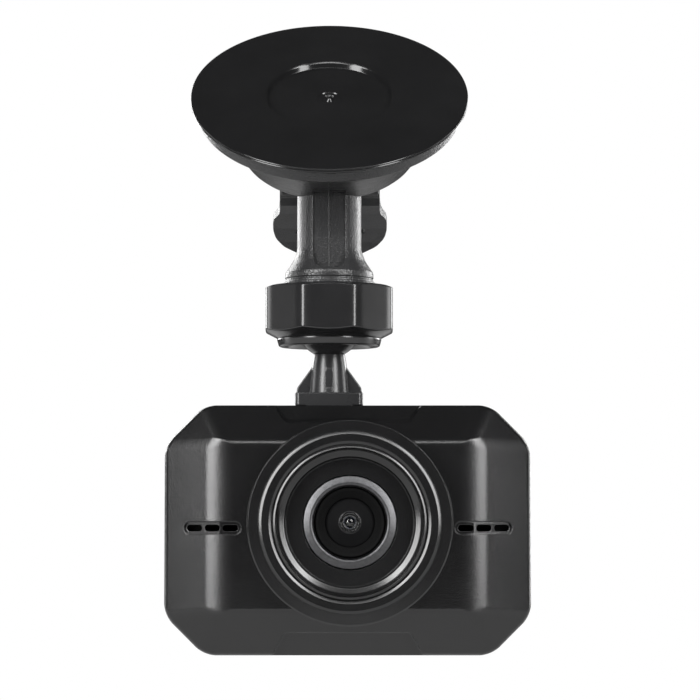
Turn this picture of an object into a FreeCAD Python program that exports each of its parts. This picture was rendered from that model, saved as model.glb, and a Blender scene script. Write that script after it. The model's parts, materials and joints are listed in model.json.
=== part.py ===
import FreeCAD, Part
import Sketcher
import math
import os
from FreeCAD import Vector, Placement, Rotation

# Dash camera hung from a windscreen by a suction mount.
# Frame: origin at the centre of the suction pad's flat face, +Z up, the lens looks along -Y, +X to the right
# when the camera is seen from the front. Millimetres.

doc = FreeCAD.newDocument("dash_camera")

# ---------------------------------------------------------------- driving dimensions
SIZES = [
    # windscreen side
    ("rake_angle", 40.0),          # the pad's normal leans this far from vertical towards -Y
    ("pad_radius", 31.1), ("pad_lip", 1.1), ("pad_recess_radius", 14.1), ("pad_recess_depth", 1.2),
    ("plunger_disc_radius", 12.0), ("plunger_disc_thick", 1.9), ("plunger_stem_radius", 2.9),
    ("dome_rim_radius", 29.5), ("dome_back_radius", 18.7), ("dome_back_depth", 16.4), ("dome_wall", 2.2),
    ("seat_depth", 19.2), ("seat_radius", 11.8),
    ("pin_depth", 25.0), ("pin_radius", 1.0), ("pin_length", 21.4),
    ("lever_half_width", 11.4), ("lever_paddle_half_width", 13.1), ("lever_thick", 2.2),
    ("cam_radius", 3.7), ("cam_offset", 1.7),
    # arm
    ("neck_radius", 7.15), ("flare_radius", 9.85), ("flare_top", -35.2), ("flare_low", -40.7),
    ("collar_radius", 10.3), ("collar_low", -43.1), ("spigot_radius", 9.2), ("spigot_end", -50.5),
    ("socket_bore", 7.4),
    ("channel_half_width", 3.55), ("channel_floor", -5.75), ("channel_low", -39.7),
    # lock nut and ball joint
    ("ball_z", -52.0), ("ball_radius", 7.25), ("joint_gap", 0.12),
    ("nut_flat_radius", 14.1), ("nut_top", -43.3), ("nut_low", -54.0), ("nut_bore", 9.45),
    ("nut_flange_radius", 11.6), ("nut_flange_top", -55.1), ("nut_flange_low", -56.8),
    # stem and foot
    ("stem_top_radius", 3.3), ("stem_low_radius", 4.55), ("foot_top", -67.2), ("foot_low", -70.1),
    ("foot_half_width", 7.5), ("foot_half_depth", 7.0),
    ("rail_web_half", 5.0), ("rail_half", 7.3), ("rail_top", -72.25), ("rail_low", -74.3), ("slide_gap", 0.15),
    # camera case
    ("case_x", 4.1), ("case_width", 80.0), ("case_top", -70.2), ("case_low", -124.7), ("case_corner", 8.7),
    ("case_corner_round", 6.0), ("rim_y", -10.0), ("parting_y", -3.0), ("back_y", 12.0), ("case_wall", 1.7),
    ("face_y", -16.0), ("face_left", -23.75), ("face_right", 31.5), ("face_top", -78.4), ("face_low", -115.0),
    # optics
    ("lens_x", 4.6), ("lens_z", -95.8), ("bezel_radius", 21.8), ("bezel_front", -23.3),
    ("trim_radius", 10.1), ("trim_bore", 7.75), ("barrel_radius", 6.0),
    # electronics
    ("board_y", 3.0), ("board_thick", 1.2), ("board_width", 64.0), ("board_height", 41.0),
    ("window_width", 51.0), ("window_height", 38.5), ("window_thick", 1.4),
    ("button_width", 8.0), ("button_height", 5.4), ("button_travel", 0.5), ("screw_radius", 1.0),
]


class Q:
    """A size that carries both its number and the sheet expression that drives it."""

    def __init__(self, v, e):
        self.v, self.e = float(v), e

    @staticmethod
    def of(o):
        return o if isinstance(o, Q) else Q(o, "(%.6f)" % float(o))

    def __add__(s, o):
        o = Q.of(o)
        return Q(s.v + o.v, "(%s + %s)" % (s.e, o.e))

    __radd__ = __add__

    def __sub__(s, o):
        o = Q.of(o)
        return Q(s.v - o.v, "(%s - %s)" % (s.e, o.e))

    def __rsub__(s, o):
        return Q.of(o) - s

    def __mul__(s, o):
        o = Q.of(o)
        return Q(s.v * o.v, "(%s * %s)" % (s.e, o.e))

    __rmul__ = __mul__

    def __truediv__(s, o):
        o = Q.of(o)
        return Q(s.v / o.v, "(%s / %s)" % (s.e, o.e))

    def __neg__(s):
        return Q(-s.v, "(0 - %s)" % s.e)


sheet = doc.addObject("Spreadsheet::Sheet", "Sizes")
D = {}
for row, (word, value) in enumerate(SIZES, start=1):
    sheet.set("A%d" % row, word)
    sheet.set("B%d" % row, str(value))
    sheet.setAlias("B%d" % row, word)
    D[word] = Q(value, "Sizes." + word)
doc.recompute()


def bind(obj, prop, q):
    q = Q.of(q)
    if q.e.startswith("(") and "Sizes" not in q.e:
        target = obj
        if not prop.startswith("."):
            setattr(target, prop, q.v)
            return
    obj.setExpression(prop, q.e)


def put(obj, x=0, y=0, z=0, rot=None):
    """Places an object; the three coordinates are sheet-driven."""
    x, y, z = Q.of(x), Q.of(y), Q.of(z)
    obj.Placement = Placement(Vector(x.v, y.v, z.v), rot or Rotation())
    for k, q in (("x", x), ("y", y), ("z", z)):
        if "Sizes" in q.e:
            obj.setExpression(".Placement.Base." + k, q.e)
    return obj


def box(name, x0, x1, y0, y1, z0, z1):
    x0, x1, y0, y1, z0, z1 = map(Q.of, (x0, x1, y0, y1, z0, z1))
    o = doc.addObject("Part::Box", name)
    bind(o, "Length", x1 - x0)
    bind(o, "Width", y1 - y0)
    bind(o, "Height", z1 - z0)
    return put(o, x0, y0, z0)


ALONG = {"Z": Rotation(), "Y": Rotation(Vector(1, 0, 0), -90), "X": Rotation(Vector(0, 1, 0), 90)}


def cyl(name, along, x, y, z, r, length):
    """A cylinder that starts at (x, y, z) and runs along +X, +Y or +Z."""
    o = doc.addObject("Part::Cylinder", name)
    bind(o, "Radius", r)
    bind(o, "Height", length)
    return put(o, x, y, z, ALONG[along])


def ball(name, x, y, z, r):
    o = doc.addObject("Part::Sphere", name)
    bind(o, "Radius", r)
    return put(o, x, y, z)


def cone(name, x, y, z, r1, r2, h):
    o = doc.addObject("Part::Cone", name)
    bind(o, "Radius1", r1)
    bind(o, "Radius2", r2)
    bind(o, "Height", h)
    return put(o, x, y, z)


def cut(name, base, *tools):
    for n, tool in enumerate(tools):
        o = doc.addObject("Part::Cut", name if n == len(tools) - 1 else name + "_c%d" % n)
        o.Base, o.Tool = base, tool
        base = o
    return base


def fuse(name, *shapes):
    o = doc.addObject("Part::MultiFuse", name)
    o.Shapes = list(shapes)
    o.Refine = True
    return o


def common(name, *shapes):
    o = doc.addObject("Part::MultiCommon", name)
    o.Shapes = list(shapes)
    return o


PLANES = {"XY": "XY_Plane", "XZ": "XZ_Plane", "YZ": "YZ_Plane"}


def sketch(body, plane, pts, tag=""):
    """A closed polyline sketch; every corner is dimensioned from the origin by the sheet."""
    s = body.newObject("Sketcher::SketchObject", body.Name + "_sketch" + tag)
    want = PLANES[plane]
    origin = [f for f in body.Origin.OriginFeatures if f.Role == want][0]
    s.AttachmentSupport = [(origin, "")]
    s.MapMode = "FlatFace"
    q = [(Q.of(a), Q.of(b)) for a, b in pts]
    n = len(q)
    for i in range(n):
        a, b = q[i], q[(i + 1) % n]
        s.addGeometry(Part.LineSegment(Vector(a[0].v, a[1].v, 0), Vector(b[0].v, b[1].v, 0)), False)
    for i in range(n):
        s.addConstraint(Sketcher.Constraint("Coincident", i, 2, (i + 1) % n, 1))
    for i, (a, b) in enumerate(q):
        for kind, c in (("DistanceX", a), ("DistanceY", b)):
            k = s.addConstraint(Sketcher.Constraint(kind, -1, 1, i, 1, c.v))
            if "Sizes" in c.e:
                s.setExpression("Constraints[%d]" % k, c.e)
    return s


def rev(name, plane, pts):
    """A solid of revolution about the sketch's vertical axis: plane XZ turns about Z, plane XY about Y."""
    body = doc.addObject("PartDesign::Body", name)
    s = sketch(body, plane, pts)
    r = body.newObject("PartDesign::Revolution", name + "_turn")
    r.Profile = s
    r.ReferenceAxis = (s, ["V_Axis"])
    r.Angle = 360.0
    s.Visibility = False
    body.Tip = r
    return body


def prism(name, plane, pts, length, round_at=None, radius=None):
    """A padded polyline; plane XZ pads towards -Y, YZ towards +X, XY towards +Z. round_at names the corners to round."""
    body = doc.addObject("PartDesign::Body", name)
    s = sketch(body, plane, pts)
    p = body.newObject("PartDesign::Pad", name + "_pad")
    p.Profile = s
    p.Length = Q.of(length).v
    bind(p, "Length", length)
    body.Tip = p
    if round_at is not None:
        doc.recompute()
        want = [(Q.of(pts[i][0]).v, Q.of(pts[i][1]).v) for i in round_at]
        names = []
        for k, e in enumerate(p.Shape.Edges, start=1):
            a, b = e.Vertexes[0].Point, e.Vertexes[-1].Point
            if plane == "XZ":
                u, w, along = (a.x, a.z), (b.x, b.z), abs(a.y - b.y)
            elif plane == "YZ":
                u, w, along = (a.y, a.z), (b.y, b.z), abs(a.x - b.x)
            else:
                u, w, along = (a.x, a.y), (b.x, b.y), abs(a.z - b.z)
            if along > 1e-3 and math.dist(u, w) < 1e-4 and any(math.dist(u, t) < 1e-3 for t in want):
                names.append("Edge%d" % k)
        f = body.newObject("PartDesign::Fillet", name + "_round")
        f.Base = (p, names)
        bind(f, "Radius", radius)
        body.Tip = f
    return body


def round_edges(name, obj, pick, fallback=()):
    """Part::Fillet on the edges that pick(edge) gives a radius for; smaller radii are used where the first fails."""
    doc.recompute()
    for scale in (1.0,) + tuple(fallback):
        rows = []
        for k, e in enumerate(obj.Shape.Edges, start=1):
            r = pick(e)
            if r:
                rows.append((k, r * scale, r * scale))
        if not rows:
            return obj
        f = doc.addObject("Part::Fillet", name)
        f.Base = obj
        f.Edges = rows
        f.recompute()
        if f.Shape and not f.Shape.isNull() and f.Shape.isValid() and f.Shape.Volume > 0.5 * obj.Shape.Volume:
            return f
        doc.removeObject(f.Name)
    print("NOTE: rounding left out on", name)
    return obj


PARTS = []


def part(name, obj, pieces=1):
    obj.Label = name
    PARTS.append((name, obj, pieces))
    return obj


# The windscreen side is drawn with its axis along +Z and the pad's face at z = 0, then leaned over.
LEAN = Rotation(Vector(1, 0, 0), D["rake_angle"].v)


def lean(obj):
    obj.Placement = Placement(Vector(0, 0, 0), LEAN)
    obj.setExpression(".Placement.Rotation.Angle", D["rake_angle"].e)
    return obj


cos_r, sin_r = math.cos(math.radians(40)), math.sin(math.radians(40))


# ---------------------------------------------------------------- suction pad
R = D["pad_radius"]
rr, rd = D["pad_recess_radius"], D["pad_recess_depth"]
pad = rev("suction_pad", "XZ", [
    (0, -rd - 0.15), (0.8, -rd - 0.2), (1.0, -rd - 0.55), (1.9, -rd - 0.55), (2.35, -rd),
    (rr - 0.25, -rd), (rr, -0.12), (rr + 0.2, 0), (R - 0.55, 0), (R - 0.15, -0.18), (R, -0.5), (R - 0.05, -D["pad_lip"]),
    (R - 1.8, -D["pad_lip"] - 0.35), (24.0, -1.75), (15.2, -2.1), (14.0, -2.9), (13.6, -7.5), (3.3, -7.5), (3.3, -6.85),
    (D["plunger_disc_radius"] + 0.1, -6.85), (D["plunger_disc_radius"] + 0.1, -2.35), (0, -2.35)])
part("suction_pad", lean(pad))

# ---------------------------------------------------------------- plunger: disc, stem and eye
pd = D["plunger_disc_radius"]
pt = D["plunger_disc_thick"]
stem = rev("plunger_disc", "XZ", [
    (0, -4.85), (pd, -4.85), (pd, -4.85 - pt), (D["plunger_stem_radius"], -4.85 - pt),
    (D["plunger_stem_radius"], -23.4), (0, -23.4)])
eye = cyl("plunger_eye", "X", -2.85, 0, -D["pin_depth"], 2.75, 5.7)
flat = box("plunger_flat", -2.85, 2.85, -2.75, 2.75, -D["pin_depth"], -D["pin_depth"] + 3.2)
eye_hole = cyl("plunger_hole", "X", -6, 0, -D["pin_depth"], D["pin_radius"] + 0.03, 12)
part("plunger", lean(cut("plunger_solid", fuse("plunger_all", stem, eye, flat), eye_hole)))

pin = cyl("lever_pin", "X", -D["pin_length"] / 2, 0, -D["pin_depth"], D["pin_radius"], D["pin_length"])
pin_c = cut("lever_pin_solid", pin, box("pin_trim", 40, 41, 0, 1, 0, 1))
part("lever_pin", lean(pin_c))

# ---------------------------------------------------------------- dome and arm, one moulding
rim, back, depth = D["dome_rim_radius"], D["dome_back_radius"], D["dome_back_depth"]
dome = rev("dome_shell", "XZ", [
    (27.4, -1.95), (rim - 0.35, -1.95), (rim, -2.2), (rim - 0.1, -4.6), (rim - 0.9, -4.95),
    (25.9, -7.0), (23.2, -9.9), (back + 2.1, -12.9), (back + 0.5, depth * -1 + 1.0), (back - 0.5, -depth), (back - 2.4, -depth - 0.55),
    (D["seat_radius"] + 1.2, -depth - 0.7), (D["seat_radius"], -D["seat_depth"] + 0.5), (D["seat_radius"] - 0.5, -D["seat_depth"]),
    (3.05, -D["seat_depth"]), (3.05, -8.2), (5.2, -8.2), (5.2, -13.2), (16.0, -13.2), (18.0, -12.2), (21.2, -9.0), (26.6, -4.4)])
lean(dome)
fl = D["neck_radius"]
neck = rev("neck_outside", "XZ", [
    (0, -14.0), (fl, -14.0), (fl, D["flare_top"]), (fl + 0.25, -36.3), (8.0, -37.6), (8.95, -39.1), (D["flare_radius"] - 0.15, -40.2),
    (D["flare_radius"], D["flare_low"]), (D["flare_radius"], -41.6), (D["flare_radius"] - 0.12, -41.75),
    (D["flare_radius"] - 0.12, -41.9), (D["flare_radius"], -42.05), (D["flare_radius"], -42.5), (D["collar_radius"], -42.6), (D["collar_radius"], D["collar_low"]),
    (D["spigot_radius"] - 0.5, D["collar_low"]), (D["spigot_radius"] - 0.5, -44.2), (D["spigot_radius"], -44.6), (D["spigot_radius"], -45.2), (D["spigot_radius"] - 0.5, -45.6),
    (D["spigot_radius"] - 0.5, -46.0), (D["spigot_radius"], -46.4), (D["spigot_radius"], -47.0), (D["spigot_radius"] - 0.5, -47.4), (D["spigot_radius"] - 0.5, -47.8),
    (D["spigot_radius"], -48.2), (D["spigot_radius"], -48.8), (D["spigot_radius"] - 0.5, -49.2), (D["spigot_radius"] - 0.5, D["spigot_end"]), (0, D["spigot_end"])])
# The neck may only rise into the dome's wall: everything above the inner side of the wall is taken off.
trim_cut = rev("neck_trim_tool", "XZ", [(0, 3.0), (28.0, 3.0), (26.4, -5.0), (21.0, -9.6), (17.6, -13.0), (16.0, -14.0), (0, -14.0)])
lean(trim_cut)
neck_cut = cut("neck_trimmed", neck, trim_cut)
bore_hole = cyl("stem_way", "Z", 0, 0, -40, 3.05, 39)
lean(bore_hole)
arm = fuse("arm_all", dome, neck_cut)
channel = prism("arm_channel", "XZ", [
    (-D["channel_half_width"], -20.0), (-D["channel_half_width"], D["channel_low"]),
    (D["channel_half_width"], D["channel_low"]), (D["channel_half_width"], -20.0)], 4.0, round_at=(1, 2), radius=2.2)
put(channel, 0, D["channel_floor"], 0)
socket = cyl("ball_bore", "Z", 0, 0, D["spigot_end"] - 1, D["socket_bore"], 7.9)
core = cyl("neck_core", "Z", 0, 0, -44.0, 4.0, 15.0)
# channel may not reach into the dome's skirt
chan_keep = cyl("channel_keep", "Z", 0, 0, -60.0, 8.0, 35.6)
chan = common("arm_channel_in_neck", channel, chan_keep)
arm_cut = cut("arm_solid", arm, chan, socket, core)
part("mount_arm", arm_cut)

# ---------------------------------------------------------------- locking lever
# Side outline in the Y-Z plane at the locked position: the hub sits on the pin, the paddle flares away from the neck.
py, pz = D["pin_depth"].v * sin_r, -D["pin_depth"].v * cos_r
lever_side = prism("lever_side", "YZ", [
    (py - 3.3, pz + 0.8), (py - 3.3, pz - 2.6), (py - 2.0, pz - 4.4), (py + 0.3, pz - 6.0), (py + 4.0, pz - 9.0),
    (py + 6.9, pz - 11.8), (py + 10.2, pz - 15.6), (py + 11.9, pz - 14.1), (py + 8.5, pz - 10.1), (py + 5.5, pz - 7.2), (py + 2.9, pz - 4.7),
    (py + 3.2, pz - 2.0), (py + 3.0, pz + 1.0), (py + 0.5, pz + 2.6), (py - 2.0, pz + 2.4)], 26.4)
put(lever_side, -13.2, 0, 0)
ecc_ang = math.radians(150)
ecc = cyl("lever_cam", "X", -D["lever_half_width"], py + D["cam_offset"].v * math.cos(ecc_ang),
          pz + D["cam_offset"].v * math.sin(ecc_ang), D["cam_radius"], D["lever_half_width"] * 2)
# plan outline of the lever, seen square to the paddle
hw, pw = D["lever_half_width"], D["lever_paddle_half_width"]
half = [(8.0, hw), (-3.4, hw), (-4.9, hw + 0.35), (-6.0, hw + 0.95), (-7.0, pw - 0.35), (-8.2, pw - 0.05), (-9.6, pw), (-11.0, pw - 0.1),
        (-12.6, pw - 0.75), (-14.1, pw - 1.9), (-15.4, pw - 3.5), (-16.5, pw - 5.6), (-17.3, pw - 8.1), (-17.75, pw - 10.6)]
outline = [(b, -a) for a, b in half] + [(-b, -a) for a, b in reversed(half)]
plan = prism("lever_plan", "XY", outline, 60.0)
# +Y of the outline runs up the paddle, +Z of the pad runs square to it
put(plan, 0, py - 30 * math.sin(math.radians(45)), pz - 30 * math.cos(math.radians(45)), Rotation(Vector(1, 0, 0), -45))
lever_plate = common("lever_plate", lever_side, plan)
lever_all = fuse("lever_all", lever_plate, ecc)
eye_slot = box("lever_eye_slot", -3.15, 3.15, py - 6.5, py + 4.9, pz - 4.4, pz + 7.5)
pin_hole = cyl("lever_pin_hole", "X", -20, py, pz, D["pin_radius"] + 0.04, 40)
grip = prism("lever_grip_slot", "XY", [(-8.0, 9.3), (8.0, 9.3), (8.0, 10.9), (-8.0, 10.9)], 60.0, round_at=(0, 1, 2, 3), radius=0.75)
put(grip, 0, py - 30 * math.sin(math.radians(45)), pz - 30 * math.cos(math.radians(45)), Rotation(Vector(1, 0, 0), -45))
part("lock_lever", cut("lever_solid", lever_all, eye_slot, pin_hole, grip))

# ---------------------------------------------------------------- ball joint
bz, br, jg = D["ball_z"], D["ball_radius"], D["joint_gap"]
pad_cyl = cyl("friction_block", "Z", 0, 0, bz + 4.6, D["socket_bore"] - 0.2, 3.7)
pad_ball = ball("friction_seat", 0, 0, bz, br + jg)
pad_well = cyl("friction_well", "Z", 0, 0, bz + 4, 2.0, 8)
part("ball_friction_pad", cut("friction_solid", pad_cyl, pad_ball, pad_well))

part("joint_ball", ball("joint_ball", 0, 0, bz, br))

ring_out = rev("socket_ring_blank", "XZ", [
    (5.0, bz + 1.1), (9.0, bz + 1.1), (9.2, bz + 0.8), (9.2, bz - 3.35), (7.2, bz - 3.35), (6.2, bz - 2.6), (5.0, bz - 2.6)])
part("socket_ring", cut("socket_ring_solid", ring_out, ball("socket_seat", 0, 0, bz, br + jg)))

nf = D["nut_flat_radius"]
t8 = math.tan(math.radians(22.5))
octagon = [(nf * t8, -nf), (nf, -nf * t8), (nf, nf * t8), (nf * t8, nf), (-nf * t8, nf), (-nf, nf * t8), (-nf, -nf * t8), (-nf * t8, -nf)]
nut_pad = prism("nut_blank", "XY", octagon, D["nut_top"] - D["nut_flange_top"], round_at=range(8), radius=0.9)
put(nut_pad, 0, 0, D["nut_flange_top"])
nut_turn = rev("nut_envelope", "XZ", [
    (0, D["nut_top"]), (nf - 0.1, D["nut_top"]), (nf + 0.45, D["nut_top"] - 0.22), (nf + 1.3, D["nut_top"] - 0.6), (nf + 1.3, D["nut_low"] + 0.75), (nf + 0.1, D["nut_low"]),
    (D["nut_flange_radius"] + 0.3, D["nut_flange_top"]), (D["nut_flange_radius"] + 0.3, D["nut_flange_top"] - 0.2), (0, D["nut_flange_top"] - 0.2)])
nut_body = common("nut_octagon", nut_pad, nut_turn)
flange = rev("nut_flange", "XZ", [
    (9.0, -54.0), (D["nut_flange_radius"] - 0.6, -54.0), (D["nut_flange_radius"], D["nut_flange_top"]), (D["nut_flange_radius"], -55.3), (D["nut_flange_radius"] - 0.35, D["nut_flange_low"] + 0.15),
    (D["nut_flange_radius"] - 0.55, D["nut_flange_low"]), (9.0, D["nut_flange_low"])])
nut_bore = rev("nut_bore", "XZ", [
    (0, -40.0), (10.0, -40.0), (10.0, -43.5), (D["nut_bore"], -44.1), (D["nut_bore"], bz - 3.45), (7.5, bz - 3.45), (8.2, -56.1), (9.5, D["nut_flange_low"]), (9.5, -58.0), (0, -58.0)])
part("lock_nut", cut("nut_solid", fuse("nut_all", nut_body, flange), nut_bore))

# ---------------------------------------------------------------- stem and rail foot
stem_cone = cone("stem_cone", 0, 0, D["foot_top"] - 0.4, D["stem_low_radius"], D["stem_top_radius"], -57.6 - D["foot_top"] + 0.4)
web = prism("stem_web", "XZ", [(-3.7, -61.0), (-7.25, -66.2), (-7.4, -67.5), (7.4, -67.5), (7.25, -66.2), (3.7, -61.0)], 2.4)
put(web, 0, 1.2, 0)
web2 = prism("stem_rib", "YZ", [(0, -61.0), (6.4, -66.4), (6.6, -67.5), (0, -67.5)], 1.6)
put(web2, -0.8, 0, 0)
fw, fd = D["foot_half_width"], D["foot_half_depth"]
block = prism("foot_block", "XY", [(-fw, -fd), (fw, -fd), (fw, fd), (-fw, fd)], D["foot_top"] - D["foot_low"], round_at=range(4), radius=1.1)
put(block, 0, 0, D["foot_low"])
web_low = box("foot_web", -D["rail_web_half"], D["rail_web_half"], -fd, fd, D["rail_top"], D["foot_low"] + 0.3)
rail = prism("foot_rail", "XY", [(-D["rail_half"], -fd), (D["rail_half"], -fd), (D["rail_half"], fd), (-D["rail_half"], fd)],
             D["rail_top"] - D["rail_low"], round_at=range(4), radius=0.6)
put(rail, 0, 0, D["rail_low"])
foot_all = fuse("foot_all", stem_cone, web, web2, block, web_low, rail)
part("mount_foot", cut("foot_solid", foot_all, ball("foot_seat", 0, 0, bz, br + jg)))

# ---------------------------------------------------------------- camera case
cx = D["case_x"]
hw_c = D["case_width"] / 2
ct, cl, cc = D["case_top"], D["case_low"], D["case_corner"]


def octa(x0, x1, z0, z1, c):
    """Octagon in the X-Z plane: a rectangle with its four corners cut by c, low edge first."""
    return [(x0 + c, z0), (x1 - c, z0), (x1, z0 + c), (x1, z1 - c), (x1 - c, z1), (x0 + c, z1), (x0, z1 - c), (x0, z0 + c)]


def loft(name, stations):
    """Straight-sided loft through closed polylines standing across Y; stations are (y, points)."""
    body = doc.addObject("PartDesign::Body", name)
    made = []
    for n, (y, pts) in enumerate(stations):
        y = Q.of(y)
        sk = sketch(body, "XZ", pts, "_%d" % n)
        sk.AttachmentOffset = Placement(Vector(0, 0, -y.v), Rotation())
        if "Sizes" in y.e:
            sk.setExpression(".AttachmentOffset.Base.z", "0 - " + y.e)
        sk.Visibility = False
        made.append(sk)
    lf = body.newObject("PartDesign::AdditiveLoft", name + "_loft")
    lf.Profile = made[0]
    lf.Sections = made[1:]
    lf.Ruled = True
    body.Tip = lf
    return body


def inset(d, y_rim, y_face, extra=0.0):
    rim = octa(cx - hw_c + d, cx + hw_c - d, cl + d, ct - d, cc - d * 0.586)
    face = octa(D["face_left"] + d * 0.45, D["face_right"] - d * 0.45, D["face_low"] + d * 0.45, D["face_top"] - d * 0.45, 1.6)
    return (y_rim, rim), (y_face, face)


w = D["case_wall"]
rim_s, face_s = inset(0.0, D["rim_y"], D["face_y"])
front_out = loft("front_outside", [(D["parting_y"], rim_s[1]), rim_s])
front_slope = loft("front_slopes", [rim_s, face_s])
rim_i, face_i = inset(w, D["rim_y"] + 0.7, D["face_y"] + w)
front_in = loft("front_inside", [(D["parting_y"] + 1.0, rim_i[1]), rim_i])
front_in2 = loft("front_inside_slopes", [rim_i, face_i])
front_solid = fuse("front_blank", front_out, front_slope)
front_hollow = fuse("front_hollow", front_in, front_in2)
front_skin = cut("front_skin", front_solid, front_hollow)

lx, lz = D["lens_x"], D["lens_z"]
boss_x = 35.2
boss_z = (-79.5, -115.5)
stand_x = (-28.0, 16.5)
stand_z = (-80.4, -114.5)
adds = []
for i, sx in enumerate((-1, 1)):
    for j, z in enumerate(boss_z):
        adds.append(cyl("front_boss_%d%d" % (i, j), "Y", cx + sx * boss_x, -13.0, z, 2.3, D["parting_y"] + 13.0))
vent_x = (-25.2, 33.6)
vent_z = -97.0
for i, vx in enumerate(vent_x):
    adds.append(box("vent_pad_%d" % i, vx - 7.6, vx + 7.6, -17.0, -10.0, vent_z - 2.9, vent_z + 2.9))
adds.append(box("rail_house_front", -9.1, 9.1, -13.0, D["parting_y"], -76.1, -70.2))
adds.append(box("notch_pad_top", cx - 18.0, cx + 18.0, -15.0, -7.0, -80.0, ct))
adds.append(box("notch_pad_low", cx - 18.0, cx + 18.0, -15.0, -7.0, cl, cl + 8.0))
added = common("front_thick", fuse("front_thick_all", *adds), front_solid)
stands = []
for i, sx in enumerate(stand_x):
    for j, z in enumerate(stand_z):
        stands.append(cyl("board_stand_%d%d" % (i, j), "Y", cx + sx, -13.4, z, 2.1, D["board_y"] + 13.4))
stand_keep = fuse("stands_all", *stands)
mouth = cyl("lens_mouth", "Y", lx, -20.0, lz, 15.2, 12.0)
rail_slot = box("rail_slot", -D["rail_web_half"] - D["slide_gap"], D["rail_web_half"] + D["slide_gap"],
                -D["foot_half_depth"] - 0.25, 30.0, D["rail_top"] + 0.05, -60.0)
rail_room = box("rail_room", -D["rail_half"] - D["slide_gap"], D["rail_half"] + D["slide_gap"],
                -D["foot_half_depth"] - 0.25, 30.0, D["rail_low"] - D["slide_gap"], D["rail_top"] + D["slide_gap"])
tools = [mouth, rail_slot, rail_room]
# finger notches at the middle of the top and bottom edges
notch_top = prism("notch_top", "XZ", [(cx - 13.2, -73.1), (cx - 16.6, -60.0), (cx + 16.6, -60.0), (cx + 13.2, -73.1)], 12.0)
put(notch_top, 0, -8.4, 0)
notch_low = prism("notch_low", "XZ", [(cx - 13.0, -119.8), (cx - 16.8, -130.0), (cx + 16.8, -130.0), (cx + 13.0, -119.8)], 12.0)
put(notch_low, 0, -8.4, 0)
tools += [notch_top, notch_low]
for i, vx in enumerate(vent_x):
    st = prism("vent_recess_%d" % i, "XZ", [(vx - 6.5, vent_z - 1.65), (vx + 6.5, vent_z - 1.65), (vx + 6.5, vent_z + 1.65), (vx - 6.5, vent_z + 1.65)],
               8.0, round_at=range(4), radius=1.6)
    put(st, 0, -12.1, 0)
    tools.append(st)
    for k, off in enumerate((-4.0, 0.0, 4.0)):
        sl = prism("vent_slot_%d%d" % (i, k), "XZ", [(vx + off - 1.65, vent_z - 0.65), (vx + off + 1.65, vent_z - 0.65),
                                                    (vx + off + 1.65, vent_z + 0.65), (vx + off - 1.65, vent_z + 0.65)],
                   8.0, round_at=range(4), radius=0.6)
        put(sl, 0, -8.0, 0)
        tools.append(sl)
for i, sx in enumerate((-1, 1)):
    for j, z in enumerate(boss_z):
        tools.append(cyl("front_pilot_%d%d" % (i, j), "Y", cx + sx * boss_x, -8.0, z, D["screw_radius"] + 0.05, 9.0))
for i, sx in enumerate(stand_x):
    for j, z in enumerate(stand_z):
        tools.append(cyl("stand_pilot_%d%d" % (i, j), "Y", cx + sx, -2.6, z, 0.85, 8.0))
front_all = fuse("front_all", front_skin, added, stand_keep)
part("front_shell", cut("front_shell_solid", front_all, *tools))

# back half
back_y = D["back_y"]


def ring_at(d, chamfer=0.0):
    return octa(cx - hw_c + d, cx + hw_c - d, cl + d, ct - d, cc - d * 0.586)


back_out = loft("back_outside", [(D["parting_y"] + 0.02, ring_at(0.0)), (back_y - 2.4, ring_at(0.0))])
back_bevel = loft("back_bevel", [(back_y - 2.4, ring_at(0.0)), (back_y - 0.7, ring_at(0.7)), (back_y, ring_at(2.4))])
back_in = loft("back_inside", [(D["parting_y"] - 1.0, ring_at(w)), (back_y - 3.4, ring_at(w))])
back_in2 = loft("back_inside_bevel", [(back_y - 3.4, ring_at(w)), (back_y - 2.2, ring_at(w + 1.2))])
back_solid = fuse("back_blank", back_out, back_bevel)
back_skin = cut("back_skin", back_solid, fuse("back_hollow", back_in, back_in2))
adds = [box("rail_house_back", -9.1, 9.1, D["parting_y"] + 0.02, back_y, -76.1, -70.2)]
for i, sx in enumerate((-1, 1)):
    for j, z in enumerate(boss_z):
        adds.append(cyl("back_boss_%d%d" % (i, j), "Y", cx + sx * boss_x, D["parting_y"] + 0.02, z, 2.4, back_y - D["parting_y"] - 0.02))
adds.append(cyl("pipe_boss", "Y", 25.0, 9.0, -79.5, 1.7, 2.5))
back_thick = common("back_thick", fuse("back_thick_all", *adds), back_solid)
win_x, win_z = -2.9, -97.5
ww, wh = D["window_width"], D["window_height"]
tools = [rail_slot, rail_room]
win_seat = prism("window_seat", "XZ", [(win_x - ww / 2 - 0.1, win_z - wh / 2 - 0.1), (win_x + ww / 2 + 0.1, win_z - wh / 2 - 0.1),
                                       (win_x + ww / 2 + 0.1, win_z + wh / 2 + 0.1), (win_x - ww / 2 - 0.1, win_z + wh / 2 + 0.1)],
                 5.0, round_at=range(4), radius=2.1)
put(win_seat, 0, back_y - D["window_thick"] - 0.05 + 5.0, 0)
tools.append(win_seat)
tools.append(box("window_way", win_x - 23.5, win_x + 23.5, 5.0, 20.0, win_z - 17.25, win_z + 17.25))
btn_x = 31.6
btn_z = [win_z + 17.2, win_z + 8.6, win_z, win_z - 8.6, win_z - 17.2]
bw, bh = D["button_width"], D["button_height"]
for k, z in enumerate(btn_z):
    hole = prism("button_way_%d" % k, "XZ", [(btn_x - bw / 2 - 0.12, z - bh / 2 - 0.12), (btn_x + bw / 2 + 0.12, z - bh / 2 - 0.12),
                                            (btn_x + bw / 2 + 0.12, z + bh / 2 + 0.12), (btn_x - bw / 2 - 0.12, z + bh / 2 + 0.12)],
                 8.0, round_at=range(4), radius=1.3)
    put(hole, 0, 14.0, 0)
    tools.append(hole)
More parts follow.
